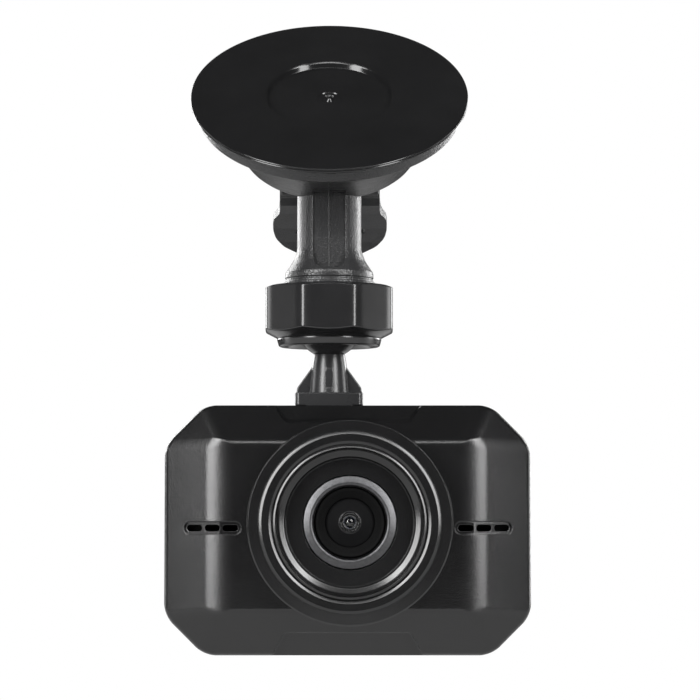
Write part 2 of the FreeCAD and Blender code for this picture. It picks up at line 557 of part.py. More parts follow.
for i, sx in enumerate((-1, 1)):
    for j, z in enumerate(boss_z):
        tools.append(cyl("screw_way_%d%d" % (i, j), "Y", cx + sx * boss_x, -5.0, z, D["screw_radius"] + 0.1, 20.0))
        tools.append(cyl("screw_sink_%d%d" % (i, j), "Y", cx + sx * boss_x, 9.9, z, 1.95, 6.0))
tools.append(cyl("pipe_way", "Y", 25.0, 5.0, -79.5, 0.95, 12.0))
tools.append(box("usb_way", cx - hw_c - 2.0, cx - hw_c + 3.0, -1.1, 3.15, -94.2, -85.8))
tools.append(box("card_way", cx + hw_c - 3.0, cx + hw_c + 2.0, 1.3, 2.7, -110.6, -98.4))
back_all = fuse("back_all", back_skin, back_thick)
part("back_shell", cut("back_shell_solid", back_all, *tools))

# ---------------------------------------------------------------- lens front
fy = D["face_y"]
fr = D["bezel_front"]
bz_r = D["bezel_radius"]
bezel = rev("lens_bezel", "XY", [
    (15.85, -13.4), (15.85, fr + 0.75), (16.1, fr + 0.4), (16.5, fr + 0.25), (17.0, fr + 0.25), (17.05, fr + 0.5), (17.3, fr + 0.5), (17.35, fr + 0.05),
    (17.5, fr), (19.3, fr), (19.5, fr + 0.12), (20.2, fr + 0.35), (21.0, fr + 0.95), (21.5, fr + 1.75), (bz_r, fr + 2.9), (bz_r, fy - 0.02),
    (17.2, fy - 0.02), (17.2, -13.4)])
put(bezel, lx, 0, lz)
part("lens_bezel", bezel)
mouth.setExpression("Radius", None)
mouth.Radius = 17.3
funnel = rev("bezel_funnel", "XY", [
    (15.75, -14.2), (15.75, fr + 0.95), (15.6, fr + 0.95), (14.9, fr + 1.9), (14.4, fr + 3.1), (14.1, fr + 4.2), (14.0, fr + 4.5), (10.25, fr + 4.5),
    (10.25, fr + 6.1), (13.6, fr + 6.1), (13.6, -14.2)])
put(funnel, lx, 0, lz)
part("bezel_funnel", funnel)
tb = D["trim_bore"]
trim_ring = rev("lens_trim_ring", "XY", [
    (tb, fr + 6.0), (tb, fr + 4.35), (tb + 0.2, fr + 4.1), (tb + 1.2, fr + 3.85), (D["trim_radius"] - 0.25, fr + 3.9), (D["trim_radius"], fr + 4.15), (D["trim_radius"], fr + 6.0)])
put(trim_ring, lx, 0, lz)
part("lens_trim_ring", trim_ring)
b_r = D["barrel_radius"]
barrel = rev("lens_barrel", "XY", [
    (7.55, -17.6), (7.6, -18.3), (7.35, -18.5), (7.0, -18.4), (5.35, -17.2), (5.35, -14.0), (4.2, -13.9), (4.2, -13.3), (4.75, -13.3), (4.75, -5.6), (b_r, -5.6), (b_r, -16.4), (7.4, -16.8)])
put(barrel, lx, 0, lz)
part("lens_barrel", barrel)


def element(name, r, y0, y1, bulge_front, bulge_back):
    """A lens: a disc from y0 (front rim) to y1 (back rim) with domed faces, drawn as a turned polyline of short steps."""
    pts = []
    n = 7
    for i in range(n + 1):
        u = i / n
        pts.append((r * u, y0 - bulge_front * (1 - u * u)))
    for i in range(n, -1, -1):
        u = i / n
        pts.append((r * u, y1 + bulge_back * (1 - u * u)))
    return put(rev(name, "XY", pts), lx, 0, lz)


part("lens_front_element", element("lens_front_element", 5.25, -16.5, -14.1, 1.0, 0.0))
part("lens_second_element", element("lens_second_element", 4.65, -13.2, -11.4, 0.0, -0.3))
spacer = put(rev("lens_spacer", "XY", [(3.9, -11.3), (4.65, -11.3), (4.65, -8.9), (3.9, -8.9)]), lx, 0, lz)
part("lens_spacer", spacer)
part("lens_rear_element", element("lens_rear_element", 4.65, -8.5, -6.6, 0.2, 0.4))

holder_base = box("holder_base", lx - 8.5, lx + 8.5, -4.9, -2.62, lz - 8.5, lz + 8.5)
holder_tube = cyl("holder_tube", "Y", lx, -11.5, lz, 7.8, 7.2)
holder_bore = cyl("holder_bore", "Y", lx, -12.5, lz, b_r + 0.08, 7.6)
holder_hole = box("holder_hole", lx - 3.2, lx + 3.2, -6.0, -1.0, lz - 3.2, lz + 3.2)
holder_filter = box("holder_filter", lx - 4.1, lx + 4.1, -4.55, -1.0, lz - 4.1, lz + 4.1)
holder_room = box("holder_room", lx - 5.1, lx + 5.1, -4.0, -1.0, lz - 5.1, lz + 5.1)
part("lens_holder", cut("lens_holder_solid", fuse("lens_holder_all", holder_base, holder_tube), holder_bore, holder_hole, holder_filter, holder_room))


def block_part(name, x0, x1, y0, y1, z0, z1):
    b = box(name, x0, x1, y0, y1, z0, z1)
    part(name, b)
    return b


block_part("ir_filter", lx - 4.0, lx + 4.0, -4.5, -4.1, lz - 4.0, lz + 4.0)
block_part("image_sensor", lx - 4.6, lx + 4.6, -3.7, -2.62, lz - 4.6, lz + 4.6)
block_part("sensor_board", lx - 10.5, lx + 10.5, -2.6, -1.6, lz - 10.5, lz + 10.5)

# ---------------------------------------------------------------- electronics
by, bt = D["board_y"], D["board_thick"]
board = box("main_board_blank", cx - D["board_width"] / 2, cx + D["board_width"] / 2, by + 0.02, by + bt, -97.5 - D["board_height"] / 2, -97.5 + D["board_height"] / 2)
tools = []
for i, sx in enumerate(stand_x):
    for j, z in enumerate(stand_z):
        tools.append(cyl("board_hole_%d%d" % (i, j), "Y", cx + sx, 2.0, z, D["screw_radius"] + 0.15, 4.0))
part("main_board", cut("main_board_solid", board, *tools))
block_part("processor_chip", 9.0, 21.0, by - 1.3, by, -112.0, -100.0)
block_part("memory_chip", 15.6, 24.6, by - 1.1, by, -95.0, -84.5)
flex = prism("sensor_flex", "YZ", [(-1.58, -89.0), (-1.28, -89.0), (-1.28, -86.6), (-0.8, -85.9), (2.1, -85.9), (2.6, -86.6), (2.6, -91.0), (2.98, -91.0),
                                   (2.98, -86.4), (2.3, -85.5), (-1.0, -85.5), (-1.58, -86.4)], 10.0)
put(flex, lx - 5.0, 0, 0)
part("sensor_flex", flex)
batt = prism("battery_cell", "XY", [(-26.0, -4.0), (-8.6, -4.0), (-8.6, 1.0), (-26.0, 1.0)], 27.0, round_at=range(4), radius=1.2)
put(batt, 0, 0, -111.3)
part("battery_cell", batt)
spk = rev("speaker", "XY", [(0, -5.2), (6.5, -5.2), (6.9, -6.9), (8.5, -7.4), (8.5, -9.2), (7.4, -9.2), (7.0, -8.9), (3.2, -8.3), (3.0, -8.9), (0, -9.1)])
put(spk, 31.0, 0, vent_z)
part("speaker", spk)
part("microphone", cyl("microphone_can", "Y", vent_x[0], -9.9, vent_z, 2.2, 2.4))

usb = box("usb_shell", -35.4, -28.2, -0.95, by, -94.0, -86.0)
usb_room = box("usb_room", -37.0, -29.4, -0.5, by - 0.5, -93.5, -86.5)
usb_tongue = box("usb_tongue", -34.6, -29.3, 0.65, 1.35, -92.4, -87.6)
part("usb_socket", fuse("usb_socket_solid", cut("usb_shell_open", usb, usb_room), usb_tongue))
card = box("card_case", 27.5, 42.2, by - 2.0, by, -111.8, -97.2)
card_room = box("card_room", 29.0, 43.0, by - 1.5, by - 0.4, -110.4, -98.6)
part("card_socket", cut("card_socket_solid", card, card_room))

block_part("lcd_backing_pad", win_x - 20.0, win_x + 20.0, by + bt + 0.05, 6.95, win_z - 14.0, win_z + 14.0)
block_part("lcd_panel", win_x - 24.5, win_x + 24.5, 7.0, 9.35, win_z - 18.2, win_z + 18.2)
gasket = box("lcd_gasket_blank", win_x - 24.5, win_x + 24.5, 9.4, 9.77, win_z - 18.2, win_z + 18.2)
part("lcd_gasket", cut("lcd_gasket_solid", gasket, box("lcd_gasket_way", win_x - 23.0, win_x + 23.0, 9.0, 10.0, win_z - 16.8, win_z + 16.8)))
win = prism("lcd_window", "XZ", [(win_x - ww / 2, win_z - wh / 2), (win_x + ww / 2, win_z - wh / 2),
                                 (win_x + ww / 2, win_z + wh / 2), (win_x - ww / 2, win_z + wh / 2)], D["window_thick"], round_at=range(4), radius=2.0)
put(win, 0, back_y, 0)
part("lcd_window", win)

sw = []
for k, z in enumerate(btn_z):
    sw.append(box("switch_body_%d" % k, btn_x - 3.0, btn_x + 3.0, by + bt + 0.02, 7.2, z - 3.0, z + 3.0))
    sw.append(cyl("switch_nub_%d" % k, "Y", btn_x, 7.0, z, 1.5, 0.9))
part("tact_switches", fuse("tact_switches_solid", *sw), 5)

for k, word in enumerate(("power", "menu", "up", "down", "ok")):
    z = btn_z[k]
    cap = prism("button_%s_cap" % word, "XZ", [(btn_x - bw / 2, z - bh / 2), (btn_x + bw / 2, z - bh / 2),
                                              (btn_x + bw / 2, z + bh / 2), (btn_x - bw / 2, z + bh / 2)],
                3.7, round_at=range(4), radius=1.2)
    put(cap, 0, 12.6, 0)
    flg = box("button_%s_flange" % word, btn_x - bw / 2 - 0.8, btn_x + bw / 2 + 0.8, 8.7, 9.7, z - bh / 2 - 0.7, z + bh / 2 + 0.7)
    post = cyl("button_%s_post" % word, "Y", btn_x, 8.45, z, 1.3, 0.5)
    part("button_%s" % word, fuse("button_%s_solid" % word, cap, flg, post))

block_part("status_led", 24.2, 25.8, by + bt + 0.02, 5.2, -80.3, -78.7)
part("status_light_pipe", fuse("light_pipe_solid", cyl("light_pipe_rod", "Y", 25.0, 5.3, -79.5, 0.9, 6.9), cyl("light_pipe_flange", "Y", 25.0, 8.3, -79.5, 1.5, 0.65)))

scr = []
for i, sx in enumerate((-1, 1)):
    for j, z in enumerate(boss_z):
        shank = cyl("case_screw_shank_%d%d" % (i, j), "Y", cx + sx * boss_x, -6.5, z, D["screw_radius"], 16.6)
        head = cyl("case_screw_head_%d%d" % (i, j), "Y", cx + sx * boss_x, 9.95, z, 1.85, 1.3)
        c1 = box("case_screw_x_%d%d" % (i, j), cx + sx * boss_x - 0.95, cx + sx * boss_x + 0.95, 10.75, 12.0, z - 0.19, z + 0.19)
        c2 = box("case_screw_y_%d%d" % (i, j), cx + sx * boss_x - 0.19, cx + sx * boss_x + 0.19, 10.75, 12.0, z - 0.95, z + 0.95)
        scr.append(cut("case_screw_%d%d" % (i, j), fuse("case_screw_all_%d%d" % (i, j), shank, head), c1, c2))
part("case_screws", fuse("case_screws_solid", *scr), 4)
scr = []
for i, sx in enumerate(stand_x):
    for j, z in enumerate(stand_z):
        shank = cyl("board_screw_shank_%d%d" % (i, j), "Y", cx + sx, -1.8, z, 0.8, 6.2)
        head = cyl("board_screw_head_%d%d" % (i, j), "Y", cx + sx, by + bt + 0.02, z, 1.7, 0.95)
        c1 = box("board_screw_x_%d%d" % (i, j), cx + sx - 0.9, cx + sx + 0.9, 4.75, 6.0, z - 0.17, z + 0.17)
        c2 = box("board_screw_y_%d%d" % (i, j), cx + sx - 0.17, cx + sx + 0.17, 4.75, 6.0, z - 0.9, z + 0.9)
        scr.append(cut("board_screw_%d%d" % (i, j), fuse("board_screw_all_%d%d" % (i, j), shank, head), c1, c2))
part("board_screws", fuse("board_screws_solid", *scr), 4)

# ---------------------------------------------------------------- recompute, prove and write
doc.recompute()
bad = []
for o in doc.Objects:
    if any(w_ in ("Invalid", "Error") for w_ in o.State):
        bad.append(o.Name + " " + ",".join(o.State))
os.makedirs("parts", exist_ok=True)
for name, obj, pieces in PARTS:
    sh = obj.Shape
    if sh is None or sh.isNull() or not sh.isValid():
        bad.append(name + " shape not valid")
        continue
    bb = sh.BoundBox
    print("%-22s solids %d vol %9.1f  x %7.2f %7.2f  y %7.2f %7.2f  z %7.2f %7.2f" % (
        name, len(sh.Solids), sh.Volume, bb.XMin, bb.XMax, bb.YMin, bb.YMax, bb.ZMin, bb.ZMax))
    if len(sh.Solids) != pieces:
        bad.append("%s has %d solids, wanted %d" % (name, len(sh.Solids), pieces))
    sh.exportStep("parts/" + name + ".step")
print("nodes", len(PARTS))
if bad:
    raise SystemExit("bad: " + "; ".join(bad))
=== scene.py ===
import bpy
import bmesh
import json
import math
from mathutils import Matrix, Vector

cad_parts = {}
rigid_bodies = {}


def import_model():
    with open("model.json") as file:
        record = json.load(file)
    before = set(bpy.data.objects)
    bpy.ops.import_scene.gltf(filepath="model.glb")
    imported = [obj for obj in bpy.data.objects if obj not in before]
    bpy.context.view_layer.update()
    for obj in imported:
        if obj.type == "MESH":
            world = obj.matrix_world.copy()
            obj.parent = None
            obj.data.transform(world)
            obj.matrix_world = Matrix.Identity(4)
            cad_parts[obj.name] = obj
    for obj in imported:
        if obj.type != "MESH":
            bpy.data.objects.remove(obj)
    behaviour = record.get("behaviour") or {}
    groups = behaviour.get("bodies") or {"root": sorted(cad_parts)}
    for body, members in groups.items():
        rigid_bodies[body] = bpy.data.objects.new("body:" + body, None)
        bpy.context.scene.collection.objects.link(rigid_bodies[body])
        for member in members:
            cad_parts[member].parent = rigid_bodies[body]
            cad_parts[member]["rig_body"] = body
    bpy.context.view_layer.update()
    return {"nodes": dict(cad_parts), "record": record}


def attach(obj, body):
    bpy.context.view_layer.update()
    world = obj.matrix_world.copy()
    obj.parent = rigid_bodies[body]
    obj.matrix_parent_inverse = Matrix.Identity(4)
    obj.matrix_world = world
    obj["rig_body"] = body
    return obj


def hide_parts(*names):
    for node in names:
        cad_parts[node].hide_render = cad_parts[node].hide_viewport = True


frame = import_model()
NODES = frame["nodes"]
MM = 0.001
COLL = bpy.context.scene.collection
LEAN = Matrix.Rotation(math.radians(40), 4, "X")


# ------------------------------------------------------------------ node materials
def nodes_of(name):
    m = bpy.data.materials.new(name)
    m.use_nodes = True
    nt = m.node_tree
    return m, nt, nt.nodes["Principled BSDF"]


def ramp(nt, src, stops):
    r = nt.nodes.new("ShaderNodeValToRGB")
    el = r.color_ramp.elements
    while len(el) < len(stops):
        el.new(0.5)
    for e, (p, c) in zip(el, stops):
        e.position = p
        e.color = (c[0], c[1], c[2], 1.0)
    nt.links.new(src, r.inputs["Fac"])
    return r.outputs["Color"]


def remap(nt, src, lo, hi, a=0.3, b=0.7):
    n = nt.nodes.new("ShaderNodeMapRange")
    n.inputs["From Min"].default_value = a
    n.inputs["From Max"].default_value = b
    n.inputs["To Min"].default_value = lo
    n.inputs["To Max"].default_value = hi
    nt.links.new(src, n.inputs["Value"])
    return n.outputs["Result"]


def noise(nt, scale, detail=3.0, rough=0.55, stretch=None):
    co = nt.nodes.new("ShaderNodeTexCoord")
    mp = nt.nodes.new("ShaderNodeMapping")
    if stretch:
        mp.inputs["Scale"].default_value = stretch
    nt.links.new(co.outputs["Object"], mp.inputs["Vector"])
    n = nt.nodes.new("ShaderNodeTexNoise")
    n.inputs["Scale"].default_value = scale
    n.inputs["Detail"].default_value = detail
    n.inputs["Roughness"].default_value = rough
    nt.links.new(mp.outputs["Vector"], n.inputs["Vector"])
    return n.outputs["Fac"]


def cells(nt, scale):
    co = nt.nodes.new("ShaderNodeTexCoord")
    n = nt.nodes.new("ShaderNodeTexVoronoi")
    n.inputs["Scale"].default_value = scale
    nt.links.new(co.outputs["Object"], n.inputs["Vector"])
    return n.outputs["Distance"]


def bump(nt, b, src, strength, distance, normal=None):
    n = nt.nodes.new("ShaderNodeBump")
    n.inputs["Strength"].default_value = strength
    n.inputs["Distance"].default_value = distance
    nt.links.new(src, n.inputs["Height"])
    if normal is not None:
        nt.links.new(normal, n.inputs["Normal"])
    nt.links.new(n.outputs["Normal"], b.inputs["Normal"])
    return n.outputs["Normal"]


def soft_edge(nt, radius):
    n = nt.nodes.new("ShaderNodeBevel")
    n.samples = 6
    n.inputs["Radius"].default_value = radius * MM
    return n.outputs["Normal"]


def plastic(name, dark, light, r_lo, r_hi, grain=0.0, grain_mm=0.3, edge=0.12, wear=130.0, spec=0.5, metal=0.0, coat=0.0, pit=0.05):
    """Moulded plastic or metal: slow colour drift, patchy roughness, and a moulded grain of grain_mm pits."""
    m, nt, b = nodes_of(name)
    slow = noise(nt, 55.0, 4.0, 0.6)
    nt.links.new(ramp(nt, slow, [(0.32, dark), (0.68, light)]), b.inputs["Base Color"])
    patch = noise(nt, wear, 4.0, 0.6)
    nt.links.new(remap(nt, patch, r_lo, r_hi), b.inputs["Roughness"])
    b.inputs["Specular IOR Level"].default_value = spec
    b.inputs["Metallic"].default_value = metal
    b.inputs["Coat Weight"].default_value = coat
    nrm = soft_edge(nt, edge) if edge else None
    if grain:
        nrm = bump(nt, b, cells(nt, 1000.0 / grain_mm), grain, pit * MM, nrm)
        bump(nt, b, noise(nt, 1000.0 / (grain_mm * 2.2), 3.0), grain * 0.6, 0.06 * MM, nrm)
    else:
        bump(nt, b, noise(nt, 900.0, 2.0), 0.05, 0.03 * MM, nrm)
    return m


def k(v):
    return (v, v, v * 1.04)


MATS = {
    "suction_gel": plastic("m_suction_gel", k(0.0055), k(0.0075), 0.12, 0.16, edge=0.05, wear=90.0, spec=0.42),
    "arm_plastic": plastic("m_arm_plastic", k(0.012), k(0.016), 0.32, 0.35, grain=0.85, grain_mm=0.42, edge=0.15, pit=0.075),
    "lever_plastic": plastic("m_lever_plastic", k(0.016), k(0.022), 0.34, 0.40, grain=0.45, grain_mm=0.42, edge=0.12),
    "nylon_black": plastic("m_nylon_black", k(0.010), k(0.014), 0.28, 0.33),
    "nut_plastic": plastic("m_nut_plastic", k(0.008), k(0.011), 0.22, 0.25, grain=0.03, grain_mm=0.5, edge=0.0),
    "foot_plastic": plastic("m_foot_plastic", k(0.013), k(0.018), 0.24, 0.28, grain=0.25, grain_mm=0.3, edge=0.1),
    "friction_rubber": plastic("m_friction_rubber", k(0.02), k(0.03), 0.6, 0.7, grain=0.2, grain_mm=0.4),
    "case_plastic": plastic("m_case_plastic", k(0.0036), k(0.0047), 0.225, 0.25, grain=0.30, grain_mm=0.36, edge=0.3, pit=0.045),
    "bezel_plastic": plastic("m_bezel_plastic", k(0.0038), k(0.0048), 0.20, 0.23, grain=0.06, grain_mm=0.16, edge=0.0),
    "funnel_plastic": plastic("m_funnel_plastic", k(0.0038), k(0.0048), 0.20, 0.23, grain=0.06, grain_mm=0.16, edge=0.0),
    "holder_plastic": plastic("m_holder_plastic", k(0.014), k(0.02), 0.45, 0.55, grain=0.3, grain_mm=0.2),
    "spacer_black": plastic("m_spacer_black", k(0.008), k(0.012), 0.5, 0.6, grain=0.2, grain_mm=0.1),
    "button_plastic": plastic("m_button_plastic", k(0.018), k(0.024), 0.30, 0.36, grain=0.12, grain_mm=0.16, edge=0.0),
    "chip_black": plastic("m_chip_black", k(0.012), k(0.02), 0.5, 0.6, grain=0.3, grain_mm=0.1),
    "switch_mix": plastic("m_switch_mix", k(0.03), k(0.04), 0.45, 0.55, grain=0.2, grain_mm=0.15),
    "foam_black": plastic("m_foam_black", k(0.008), k(0.014), 0.8, 0.95, grain=0.9, grain_mm=0.35, edge=0.0),
    "speaker_frame": plastic("m_speaker_frame", k(0.015), k(0.028), 0.6, 0.8, grain=0.3, grain_mm=0.3),
    "barrel_black": plastic("m_barrel_black", k(0.0012), k(0.0018), 0.6, 0.66, grain=0.08, grain_mm=0.1, edge=0.0, spec=0.06),
    "sensor_die": plastic("m_sensor_die", (0.02, 0.025, 0.04), (0.04, 0.035, 0.06), 0.12, 0.2, edge=0.0),
    "flex_amber": plastic("m_flex_amber", (0.32, 0.13, 0.02), (0.42, 0.19, 0.03), 0.25, 0.4, edge=0.0),
    "led_white": plastic("m_led_white", (0.75, 0.73, 0.55), (0.85, 0.84, 0.7), 0.3, 0.4, edge=0.0),
    "lcd_stack": plastic("m_lcd_stack", (0.10, 0.11, 0.13), (0.14, 0.15, 0.17), 0.25, 0.4, edge=0.0, metal=0.6),
    "print_pale": plastic("m_print_pale", (0.42, 0.43, 0.44), (0.5, 0.5, 0.51), 0.5, 0.6, edge=0.0),
}


def brushed(name, dark, light, r_lo, r_hi, stretch):
    """Metal with fine lines drawn out along one direction."""
    m, nt, b = nodes_of(name)
    b.inputs["Metallic"].default_value = 1.0
    fine = noise(nt, 1400.0, 3.0, 0.6, stretch)
    nt.links.new(ramp(nt, fine, [(0.3, dark), (0.7, light)]), b.inputs["Base Color"])
    nt.links.new(remap(nt, fine, r_lo, r_hi), b.inputs["Roughness"])
    bump(nt, b, fine, 0.25, 0.02 * MM, soft_edge(nt, 0.06))
    return m


MATS["trim_metal"] = brushed("m_trim_metal", (0.058, 0.058, 0.06), (0.084, 0.084, 0.087), 0.33, 0.38, (1.0, 0.12, 1.0))
MATS["pin_steel"] = brushed("m_pin_steel", (0.45, 0.45, 0.46), (0.6, 0.6, 0.6), 0.22, 0.34, (0.1, 1.0, 1.0))
MATS["can_steel"] = brushed("m_can_steel", (0.5, 0.5, 0.5), (0.62, 0.62, 0.62), 0.28, 0.4, (1.0, 0.1, 1.0))
MATS["socket_steel"] = brushed("m_socket_steel", (0.46, 0.46, 0.47), (0.6, 0.6, 0.61), 0.26, 0.38, (0.1, 1.0, 1.0))
MATS["cell_foil"] = brushed("m_cell_foil", (0.5, 0.51, 0.53), (0.6, 0.61, 0.63), 0.3, 0.5, (1.0, 1.0, 0.3))
MATS["screw_steel"] = brushed("m_screw_steel", (0.035, 0.035, 0.037), (0.07, 0.07, 0.072), 0.3, 0.42, (1.0, 0.2, 1.0))
MATS["screw_bright"] = brushed("m_screw_bright", (0.5, 0.5, 0.48), (0.62, 0.62, 0.6), 0.25, 0.4, (1.0, 0.2, 1.0))


def board_material():
    m, nt, b = nodes_of("m_board_green")
    n = noise(nt, 260.0, 2.0, 0.4, (1.0, 1.0, 0.25))
    nt.links.new(ramp(nt, n, [(0.47, (0.006, 0.05, 0.025)), (0.5, (0.012, 0.10, 0.05)), (0.56, (0.006, 0.06, 0.03))]), b.inputs["Base Color"])
    nt.links.new(remap(nt, n, 0.25, 0.4), b.inputs["Roughness"])
    bump(nt, b, n, 0.2, 0.03 * MM)
    return m


MATS["board_green"] = board_material()


def glass(name, tint, rough, clear):
    m, nt, b = nodes_of(name)
    n = noise(nt, 120.0, 2.0)
    nt.links.new(ramp(nt, n, [(0.3, tint), (0.7, tuple(min(1.0, c * 1.06) for c in tint))]), b.inputs["Base Color"])
    nt.links.new(remap(nt, n, rough, rough + 0.015), b.inputs["Roughness"])
    b.inputs["Transmission Weight"].default_value = clear
    b.inputs["IOR"].default_value = 1.6
    b.inputs["Coat Weight"].default_value = 0.4
    b.inputs["Coat Roughness"].default_value = 0.02
    b.inputs["Coat Tint"].default_value = (0.75, 0.8, 1.0, 1.0)
    return m


MATS["lens_glass"] = glass("m_lens_glass", (0.62, 0.68, 0.78), 0.0, 1.0)
MATS["filter_glass"] = glass("m_filter_glass", (0.45, 0.75, 0.72), 0.01, 0.9)
MATS["pipe_clear"] = glass("m_pipe_clear", (0.8, 0.84, 0.88), 0.08, 0.85)


def window_material():
    """Clear cover printed black round its edge, with the dark display showing inside."""
    m, nt, b = nodes_of("m_window_black")
    co = nt.nodes.new("ShaderNodeTexCoord")
    sep = nt.nodes.new("ShaderNodeSeparateXYZ")
    nt.links.new(co.outputs["Object"], sep.inputs["Vector"])
    parts = []
    for axis, mid, half in (("X", -2.9 * MM, 22.4 * MM), ("Z", -97.5 * MM, 16.4 * MM)):
        sub = nt.nodes.new("ShaderNodeMath")
        sub.operation = "SUBTRACT"
        sub.inputs[1].default_value = mid
        nt.links.new(sep.outputs[axis], sub.inputs[0])
        ab = nt.nodes.new("ShaderNodeMath")
        ab.operation = "ABSOLUTE"
        nt.links.new(sub.outputs[0], ab.inputs[0])
        lt = nt.nodes.new("ShaderNodeMapRange")
        lt.inputs["From Min"].default_value = half
        lt.inputs["From Max"].default_value = half + 0.08 * MM
        lt.inputs["To Min"].default_value = 1.0
        lt.inputs["To Max"].default_value = 0.0
        nt.links.new(ab.outputs[0], lt.inputs["Value"])
        parts.append(lt.outputs["Result"])
    mul = nt.nodes.new("ShaderNodeMath")
    mul.operation = "MULTIPLY"
    nt.links.new(parts[0], mul.inputs[0])
    nt.links.new(parts[1], mul.inputs[1])
    slow = noise(nt, 40.0, 3.0)
    edge = ramp(nt, slow, [(0.3, (0.004, 0.004, 0.0045)), (0.7, (0.006, 0.006, 0.0065))])
    disp = ramp(nt, slow, [(0.3, (0.014, 0.016, 0.020)), (0.7, (0.019, 0.021, 0.026))])
    mix = nt.nodes.new("ShaderNodeMix")
    mix.data_type = "RGBA"
    nt.links.new(mul.outputs[0], mix.inputs["Factor"])
    nt.links.new(edge, mix.inputs["A"])
    nt.links.new(disp, mix.inputs["B"])
    nt.links.new(mix.outputs["Result"], b.inputs["Base Color"])
    nt.links.new(remap(nt, noise(nt, 300.0, 3.0), 0.04, 0.09), b.inputs["Roughness"])
    b.inputs["Coat Weight"].default_value = 0.5
    return m


MATS["window_black"] = window_material()


def painted_shade_glass():
    """Front element: painted black outside a small clear pupil, painted shade that stands in for the dark inside of the
    lens behind the glass.
    """
    m, nt, b = nodes_of("m_lens_masked")
    co = nt.nodes.new("ShaderNodeTexCoord")
    sub = nt.nodes.new("ShaderNodeVectorMath")
    sub.operation = "SUBTRACT"
    sub.inputs[1].default_value = (4.6 * MM, 0.0, -95.8 * MM)
    nt.links.new(co.outputs["Object"], sub.inputs[0])
    flat = nt.nodes.new("ShaderNodeVectorMath")
    flat.operation = "MULTIPLY"
    flat.inputs[1].default_value = (1.0, 0.0, 1.0)
    nt.links.new(sub.outputs["Vector"], flat.inputs[0])
    ln = nt.nodes.new("ShaderNodeVectorMath")
    ln.operation = "LENGTH"
    nt.links.new(flat.outputs["Vector"], ln.inputs[0])
    clear = remap(nt, ln.outputs["Value"], 1.0, 0.0, 1.22 * MM, 1.3 * MM)
    nt.links.new(clear, b.inputs["Transmission Weight"])
    # painted shade: near-black base colour outside the pupil, bluish clear glass inside it
    nt.links.new(ramp(nt, clear, [(0.0, (0.0022, 0.0022, 0.0024)), (1.0, (0.30, 0.33, 0.40))]), b.inputs["Base Color"])
    nt.links.new(remap(nt, ln.outputs["Value"], 0.1, 0.6, 2.3 * MM, 2.5 * MM), b.inputs["Roughness"])
    nt.links.new(remap(nt, ln.outputs["Value"], 1.0, 0.05, 2.3 * MM, 2.5 * MM), b.inputs["Specular IOR Level"])
    b.inputs["IOR"].default_value = 1.5
    return m


MATS["lens_masked"] = painted_shade_glass()
SLOT_OF = {s["node"]: s["material_slot"] for s in frame["record"]["subparts"]}


# ------------------------------------------------------------------ mesh tools (millimetres in, metres out)
def rounded(pts, seg=4, closed=True):
    """Polyline of (a, b) or (a, b, r): corners with r become arcs."""
    out = []
    n = len(pts)
    for i, p in enumerate(pts):
        r = p[2] if len(p) > 2 else 0.0
        if r <= 0.0:
            out.append((p[0], p[1]))
            continue
        c0, q0, q1 = Vector(p[:2]), Vector(pts[i - 1][:2]), Vector(pts[(i + 1) % n][:2])
        u, v = q0 - c0, q1 - c0
        lu, lv = u.length, v.length
        u, v = u / lu, v / lv
        ang = u.angle(v)
        if ang > math.pi - 0.02:
            out.append((p[0], p[1]))
            continue
        t = min(r / math.tan(ang / 2), lu * 0.48, lv * 0.48)
        rr = t * math.tan(ang / 2)
        cen = c0 + (u + v).normalized() * (rr / math.sin(ang / 2))
        s, e = c0 + u * t - cen, c0 + v * t - cen
        a0, a1 = math.atan2(s.y, s.x), math.atan2(e.y, e.x)
        d = (a1 - a0 + math.pi) % (2 * math.pi) - math.pi
        for j in range(seg + 1):
            a = a0 + d * j / seg
            out.append((cen.x + rr * math.cos(a), cen.y + rr * math.sin(a)))
    return out


def new_object(name, bm):
    bmesh.ops.remove_doubles(bm, verts=bm.verts, dist=1e-7)
    bmesh.ops.recalc_face_normals(bm, faces=bm.faces)
    me = bpy.data.meshes.new(name)
    bm.to_mesh(me)
    bm.free()
    ob = bpy.data.objects.new(name, me)
    COLL.objects.link(ob)
    return ob


def lathe(name, pts, axis="Z", at=(0.0, 0.0, 0.0), seg=128, arc=4, matrix=None):
    """Turns the closed profile (radius, height[, corner radius]) about Z or Y through at."""
    prof = rounded(pts, arc)
    bm = bmesh.new()
    rings = []
    for r, h in prof:
        ring = []
        for i in range(seg if r > 1e-6 else 1):
            a = 2 * math.pi * i / seg
            c, s = r * math.cos(a), r * math.sin(a)
            p = (c + at[0], s + at[1], h + at[2]) if axis == "Z" else (c + at[0], h + at[1], s + at[2])
            ring.append(bm.verts.new(Vector(p) * MM))
        rings.append(ring)
    n = len(rings)
    for i in range(n):
        a, b = rings[i], rings[(i + 1) % n]
        if len(a) == 1 and len(b) == 1:
            continue
        for j in range(seg):
            q = (j + 1) % seg
            if len(a) == 1:
                bm.faces.new((a[0], b[j], b[q]))
            elif len(b) == 1:
                bm.faces.new((a[j], b[0], a[q]))
            else:
                bm.faces.new((a[j], b[j], b[q], a[q]))
    if matrix is not None:
        bmesh.ops.transform(bm, matrix=matrix, verts=bm.verts)
    return new_object(name, bm)


